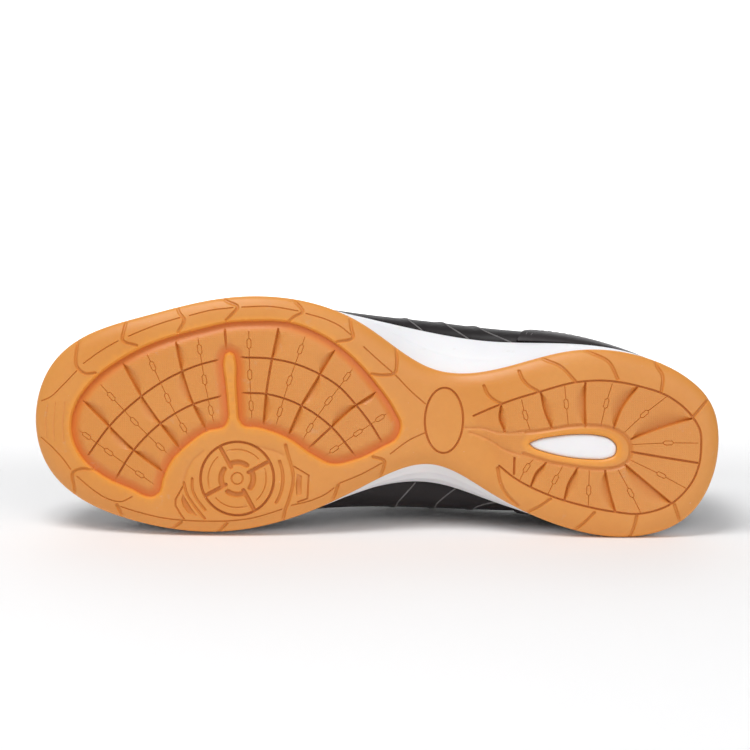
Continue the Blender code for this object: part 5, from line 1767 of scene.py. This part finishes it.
def cloth(name, base, scale):
    """Woven cloth in one colour, with fuzz."""
    material, tree, shader, place_of = new_material(name)
    threads = weave(tree, place_of, scale)
    colour = blend(tree, span(tree, threads, 0.1, 0.9), base, tone(base, (1.9, 1.9, 1.9)))
    lint = span(tree, noise(tree, place_of, 260.0, 5.0, 0.7), 0.6, 0.8, 0.0, 0.3)
    colour = blend(tree, lint, colour, tone(base, (2.6, 2.6, 2.6)))
    surface(tree, shader, colour, span(tree, threads, 0.0, 1.0, 0.92, 0.78),
            [(threads, 0.6, 0.0002), (noise(tree, place_of, 80.0), 0.2, 0.0006)],
            {"Sheen Weight": 0.25, "Sheen Roughness": 0.5})
    return material


def floor_paint():
    """Plain pale studio floor."""
    material, tree, shader, place_of = new_material("studio_floor")
    colour = blend(tree, noise(tree, place_of, 3.0), (0.93, 0.93, 0.935), (0.95, 0.95, 0.955))
    surface(tree, shader, colour, 0.75, [(noise(tree, place_of, 300.0), 0.05, 0.0003)], {})
    return material


def colour_property(name, description, default):
    """Colour that a user can change."""
    return bpy.props.FloatVectorProperty(name=name, description=description, default=default,
                                         size=3, min=0.0, max=1.0, subtype="COLOR")


class ShoeSizes(bpy.types.PropertyGroup):
    """Sizes of the pieces that the dressed shoe adds."""
    tread_depth: bpy.props.FloatProperty(
        name="Tread depth", description="Depth of the tread's lines, as a share of the usual one",
        default=1.0, min=0.3, max=1.4, subtype="FACTOR")
    stitch_pitch: bpy.props.FloatProperty(
        name="Stitch pitch", description="Distance from one stitch to the next",
        default=3.3 * MM, min=2.0 * MM, max=6.0 * MM, unit="LENGTH", subtype="DISTANCE")
    stitch_length: bpy.props.FloatProperty(
        name="Stitch length", description="Length of one stitch",
        default=2.5 * MM, min=1.0 * MM, max=5.0 * MM, unit="LENGTH", subtype="DISTANCE")
    eyelet_bore: bpy.props.FloatProperty(
        name="Eyelet bore", description="Width of the holes that the lace runs through",
        default=4.4 * MM, min=3.0 * MM, max=6.0 * MM, unit="LENGTH", subtype="DISTANCE")
    lace_width: bpy.props.FloatProperty(
        name="Lace width", description="Width of the flat lace",
        default=5.4 * MM, min=3.0 * MM, max=8.0 * MM, unit="LENGTH", subtype="DISTANCE")
    lace_thickness: bpy.props.FloatProperty(
        name="Lace thickness", description="Thickness of the flat lace",
        default=1.3 * MM, min=0.6 * MM, max=2.4 * MM, unit="LENGTH", subtype="DISTANCE")


class ShoeColours(bpy.types.PropertyGroup):
    """Main colours of the shoe."""
    gum: colour_property("Gum", "Colour of the rubber outsole", (0.705, 0.276, 0.052))
    foam: colour_property("Foam", "Colour of the midsole", (0.86, 0.86, 0.885))
    leather: colour_property("Leather", "Colour of the upper", (0.0095, 0.0071, 0.0077))
    tongue: colour_property("Tongue", "Colour of the tongue", (0.030, 0.027, 0.029))
    insole: colour_property("Insole", "Colour of the insole", (0.11, 0.11, 0.12))
    lace: colour_property("Lace", "Colour of the lace", (0.026, 0.024, 0.026))


class StageSettings(bpy.types.PropertyGroup):
    """Camera and lights of the studio."""
    camera_distance: bpy.props.FloatProperty(
        name="Camera distance", description="Distance from the camera to the sole",
        default=1.4, min=0.5, max=3.0, unit="LENGTH", subtype="DISTANCE")
    view_width: bpy.props.FloatProperty(
        name="View width", description="Width of the picture at the sole",
        default=321.0 * MM, min=0.2, max=1.0, unit="LENGTH", subtype="DISTANCE")
    roll: bpy.props.FloatProperty(
        name="Roll", description="Turn of the camera against the length of the sole",
        default=math.radians(1.543), min=-0.3, max=0.3, unit="ROTATION", subtype="ANGLE")
    key_power: bpy.props.FloatProperty(
        name="Key light", description="Power of the soft light over the shoe",
        default=11.5, min=0.0, max=200.0, unit="POWER")
    fill_power: bpy.props.FloatProperty(
        name="Fill light", description="Power of the soft light beside the camera",
        default=7.0, min=0.0, max=200.0, unit="POWER")
    back_power: bpy.props.FloatProperty(
        name="Backdrop light", description="Power of the light on the wall behind the shoe",
        default=42.0, min=0.0, max=400.0, unit="POWER")
    sky: bpy.props.FloatProperty(
        name="Sky", description="Strength of the white surroundings", default=0.30, min=0.0,
        max=3.0)


def dress(thing, node, angle=None):
    """Lays a standing piece down with the shoe, smooths it and gives it its place in the
    part. A piece without a node is added to the part's own."""
    thing.data.transform(LYING)
    select_only(thing)
    if angle is None:
        bpy.ops.object.shade_smooth()
    else:
        bpy.ops.object.shade_smooth_by_angle(angle=math.radians(angle))
    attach(thing, "root")
    if node is not None:
        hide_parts(node)
    return thing


def punch(things, last, bore):
    """Bores the eyelets through the eyestay and the upper."""
    work = bmesh.new()
    for along in EYELET_PLACES:
        for side in (-1.0, 1.0):
            point, outward = last.above(along, side * (throat_half(along) + EYELET_EDGE), 0.0)
            turn = Vector((0.0, 0.0, 1.0)).rotation_difference(outward).to_matrix().to_4x4()
            bmesh.ops.create_cone(work, cap_ends=True, segments=20, radius1=bore / 2,
                                  radius2=bore / 2, depth=10.0 * MM,
                                  matrix=Matrix.Translation(point) @ turn)
    mesh = bpy.data.meshes.new("bores")
    work.to_mesh(mesh)
    work.free()
    bores = bare_object("bores", mesh)
    for thing in things:
        cutter = thing.modifiers.new("bores", "BOOLEAN")
        cutter.solver = "EXACT"
        cutter.object = bores
        keep_modified(thing)
    bpy.data.objects.remove(bores, do_unlink=True)


class ShoeStep:
    """What every step of dressing the shoe shares."""
    bl_options = {"REGISTER", "UNDO"}

    @classmethod
    def poll(cls, context):
        """The steps need a scene to work in."""
        return context.scene is not None


class OBJECT_OT_shoe_outsole(ShoeStep, bpy.types.Operator):
    """Model the gum outsole with its whole tread"""
    bl_idname = "object.shoe_outsole"
    bl_label = "Outsole"

    def execute(self, context):
        """Replaces the plain outsole by the treaded one."""
        mesh = outsole_mesh(context.scene.shoe_sizes.tread_depth)
        mesh.materials.append(gum(tuple(context.scene.shoe_colours.gum)))
        dress(bare_object("outsole_gum", mesh), "outsole", 32.0)
        return {"FINISHED"}


class OBJECT_OT_shoe_midsole(ShoeStep, bpy.types.Operator):
    """Model the white midsole and the insole"""
    bl_idname = "object.shoe_midsole"
    bl_label = "Midsole and insole"

    def execute(self, context):
        """Replaces the plain midsole and insole."""
        colours = context.scene.shoe_colours
        mesh = midsole_mesh()
        mesh.materials.append(foam(tuple(colours.foam)))
        dress(bare_object("midsole_foam", mesh), "midsole", 50.0)
        mesh = insole_mesh()
        mesh.materials.append(cloth("sock_cloth", tuple(colours.insole), 150.0))
        sheet = dress(bare_object("insole_sheet", mesh), "insole", 50.0)
        return {"FINISHED"}


class OBJECT_OT_shoe_upper(ShoeStep, bpy.types.Operator):
    """Model the upper with its eyestay, tongue, heel counter and seams"""
    bl_idname = "object.shoe_upper"
    bl_label = "Upper and overlays"

    def execute(self, context):
        """Replaces the plain upper, tongue, eyestay and heel counter."""
        sizes = context.scene.shoe_sizes
        colours = context.scene.shoe_colours
        last = Last()
        base = tuple(colours.leather)
        body = upper_thing(last, [leather("upper_leather", base, 0.0),
                                  cloth("lining_cloth", (0.030, 0.028, 0.030), 190.0)])
        smooth_leather = leather("overlay_leather", base, 1.0)
        stay_columns = eyestay_columns(last)
        stay = overlay_thing("eyestay_leather", stay_columns, OVERLAY_GAP, OVERLAY_WALL, 1.0,
                             0.35 * MM, smooth_leather)
        punch([body, stay], last, sizes.eyelet_bore)
        dress(body, "upper", 50.0)
        # Pale cord of painted highlight along the ridges
        mesh = ridge_highlight_mesh(last)
        mesh.materials.append(piping())
        dress(bare_object("upper_piping", mesh), "upper", 60.0)
        tongue = tongue_thing(last, cloth("tongue_cloth", tuple(colours.tongue), 170.0))
        dress(tongue, "tongue", 60.0)
        back_columns = counter_columns(last)
        counter = overlay_thing("heel_counter_leather", back_columns, OVERLAY_GAP,
                                OVERLAY_WALL, 1.0, 0.4 * MM, smooth_leather)
        seams = []
        for node, thing, columns, row, inner_row, distances in (
                ("heel_counter", counter, back_columns, -1, -4, COUNTER_SEAMS),
                ("eyestay", stay, stay_columns, 0, 2, EYESTAY_SEAMS)):
            edge, within = ([column[place_in] for column in columns]
                            for place_in in (row, inner_row))
            seams.append((node, [seam_line(thing, edge, within, distance)
                                 for distance in distances]))
        dress(stay, "eyestay", 40.0)
        dress(counter, "heel_counter", 40.0)
        thread = cloth("seam_thread", (0.105, 0.098, 0.100), 1500.0)
        for node, lines in seams:
            mesh = stitch_mesh(node + "_seam", lines, sizes.stitch_pitch, sizes.stitch_length,
                               STITCH_RADIUS)
            mesh.materials.append(thread)
            dress(bare_object(node + "_seam", mesh), None)
        return {"FINISHED"}


class OBJECT_OT_shoe_lace(ShoeStep, bpy.types.Operator):
    """Model the flat lace, run through the eyelets"""
    bl_idname = "object.shoe_lace"
    bl_label = "Lace"

    def execute(self, context):
        """Replaces the plain lace."""
        sizes = context.scene.shoe_sizes
        mesh = lace_mesh(Last(), sizes.lace_width, sizes.lace_thickness)
        colour = tuple(context.scene.shoe_colours.lace)
        mesh.materials.append(cloth("lace_cloth", colour, 260.0))
        dress(bare_object("lace_flat", mesh), "lace", 60.0)
        return {"FINISHED"}


class SCENE_OT_shoe_stage(ShoeStep, bpy.types.Operator):
    """Set the camera, floor and soft lights round the shoe"""
    bl_idname = "scene.shoe_stage"
    bl_label = "Studio"

    def execute(self, context):
        """Adds the camera square on to the sole, the floor and the lights."""
        stage = context.scene.shoe_stage
        scene = context.scene
        turn = LYING.to_3x3()
        roll = stage.roll
        right = turn @ Vector((math.cos(roll), -math.sin(roll), 0.0))
        up = turn @ Vector((-math.sin(roll), -math.cos(roll), 0.0))
        back = right.cross(up).normalized()
        target = LYING @ Vector(PICTURE_CENTRE)
        data = bpy.data.cameras.new("camera")
        data.sensor_width = 36.0
        data.lens = 36.0 * stage.camera_distance / stage.view_width
        camera = bpy.data.objects.new("camera", data)
        scene.collection.objects.link(camera)
        camera.matrix_world = Matrix.Translation(target + back * stage.camera_distance) @ (
            Matrix((right, up, back)).transposed().to_4x4())
        scene.camera = camera
        corners = [(x, y, z) for y, z in FLOOR_ROWS for x in (-4.0, 4.0)]
        faces = [(2 * i, 2 * i + 1, 2 * i + 3, 2 * i + 2) for i in range(len(FLOOR_ROWS) - 1)]
        mesh = bpy.data.meshes.new("floor")
        mesh.from_pydata(corners, [], faces)
        mesh.materials.append(floor_paint())
        floor = bare_object("floor", mesh)
        bpy.ops.object.shade_smooth()
        for name, spot, aim, size, power in LIGHTS:
            light = bpy.data.lights.new(name, "AREA")
            light.size = size
            light.energy = getattr(stage, power)
            thing = bpy.data.objects.new(name, light)
            thing.location = spot
            way = Vector(aim) - Vector(spot)
            thing.rotation_euler = way.to_track_quat("-Z", "Y").to_euler()
            scene.collection.objects.link(thing)
        world = bpy.data.worlds.new("studio")
        world.use_nodes = True
        background = world.node_tree.nodes["Background"]
        background.inputs["Color"].default_value = (1.0, 1.0, 1.0, 1.0)
        background.inputs["Strength"].default_value = stage.sky
        scene.world = world
        scene.view_settings.view_transform = "Standard"
        return {"FINISHED"}


class VIEW3D_PT_shoe(bpy.types.Panel):
    """Steps that dress the shoe, with their sizes"""
    bl_label = "Indoor soccer shoe"
    bl_idname = "VIEW3D_PT_shoe"
    bl_space_type = "VIEW_3D"
    bl_region_type = "UI"
    bl_category = "Shoe"

    def draw(self, context):
        """Lists the sizes and the steps."""
        scene = context.scene
        for group in (scene.shoe_sizes, scene.shoe_colours, scene.shoe_stage):
            box = self.layout.box()
            for name in group.__annotations__:
                box.prop(group, name)
        for step in STEPS:
            self.layout.operator(step.bl_idname)


STEPS = (SCENE_OT_shoe_stage, OBJECT_OT_shoe_outsole, OBJECT_OT_shoe_midsole,
         OBJECT_OT_shoe_upper, OBJECT_OT_shoe_lace)
CLASSES = (ShoeSizes, ShoeColours, StageSettings) + STEPS + (VIEW3D_PT_shoe,)


def register():
    """Adds the classes and their settings."""
    for kind in CLASSES:
        bpy.utils.register_class(kind)
    bpy.types.Scene.shoe_sizes = bpy.props.PointerProperty(type=ShoeSizes)
    bpy.types.Scene.shoe_colours = bpy.props.PointerProperty(type=ShoeColours)
    bpy.types.Scene.shoe_stage = bpy.props.PointerProperty(type=StageSettings)


def unregister():
    """Takes the classes and their settings away."""
    del bpy.types.Scene.shoe_stage
    del bpy.types.Scene.shoe_colours
    del bpy.types.Scene.shoe_sizes
    for kind in reversed(CLASSES):
        bpy.utils.unregister_class(kind)


def main():
    """Dresses the shoe."""
    register()
    bpy.ops.scene.shoe_stage()
    bpy.ops.object.shoe_outsole()
    bpy.ops.object.shoe_midsole()
    bpy.ops.object.shoe_upper()
    bpy.ops.object.shoe_lace()


if __name__ == "__main__":
    main()
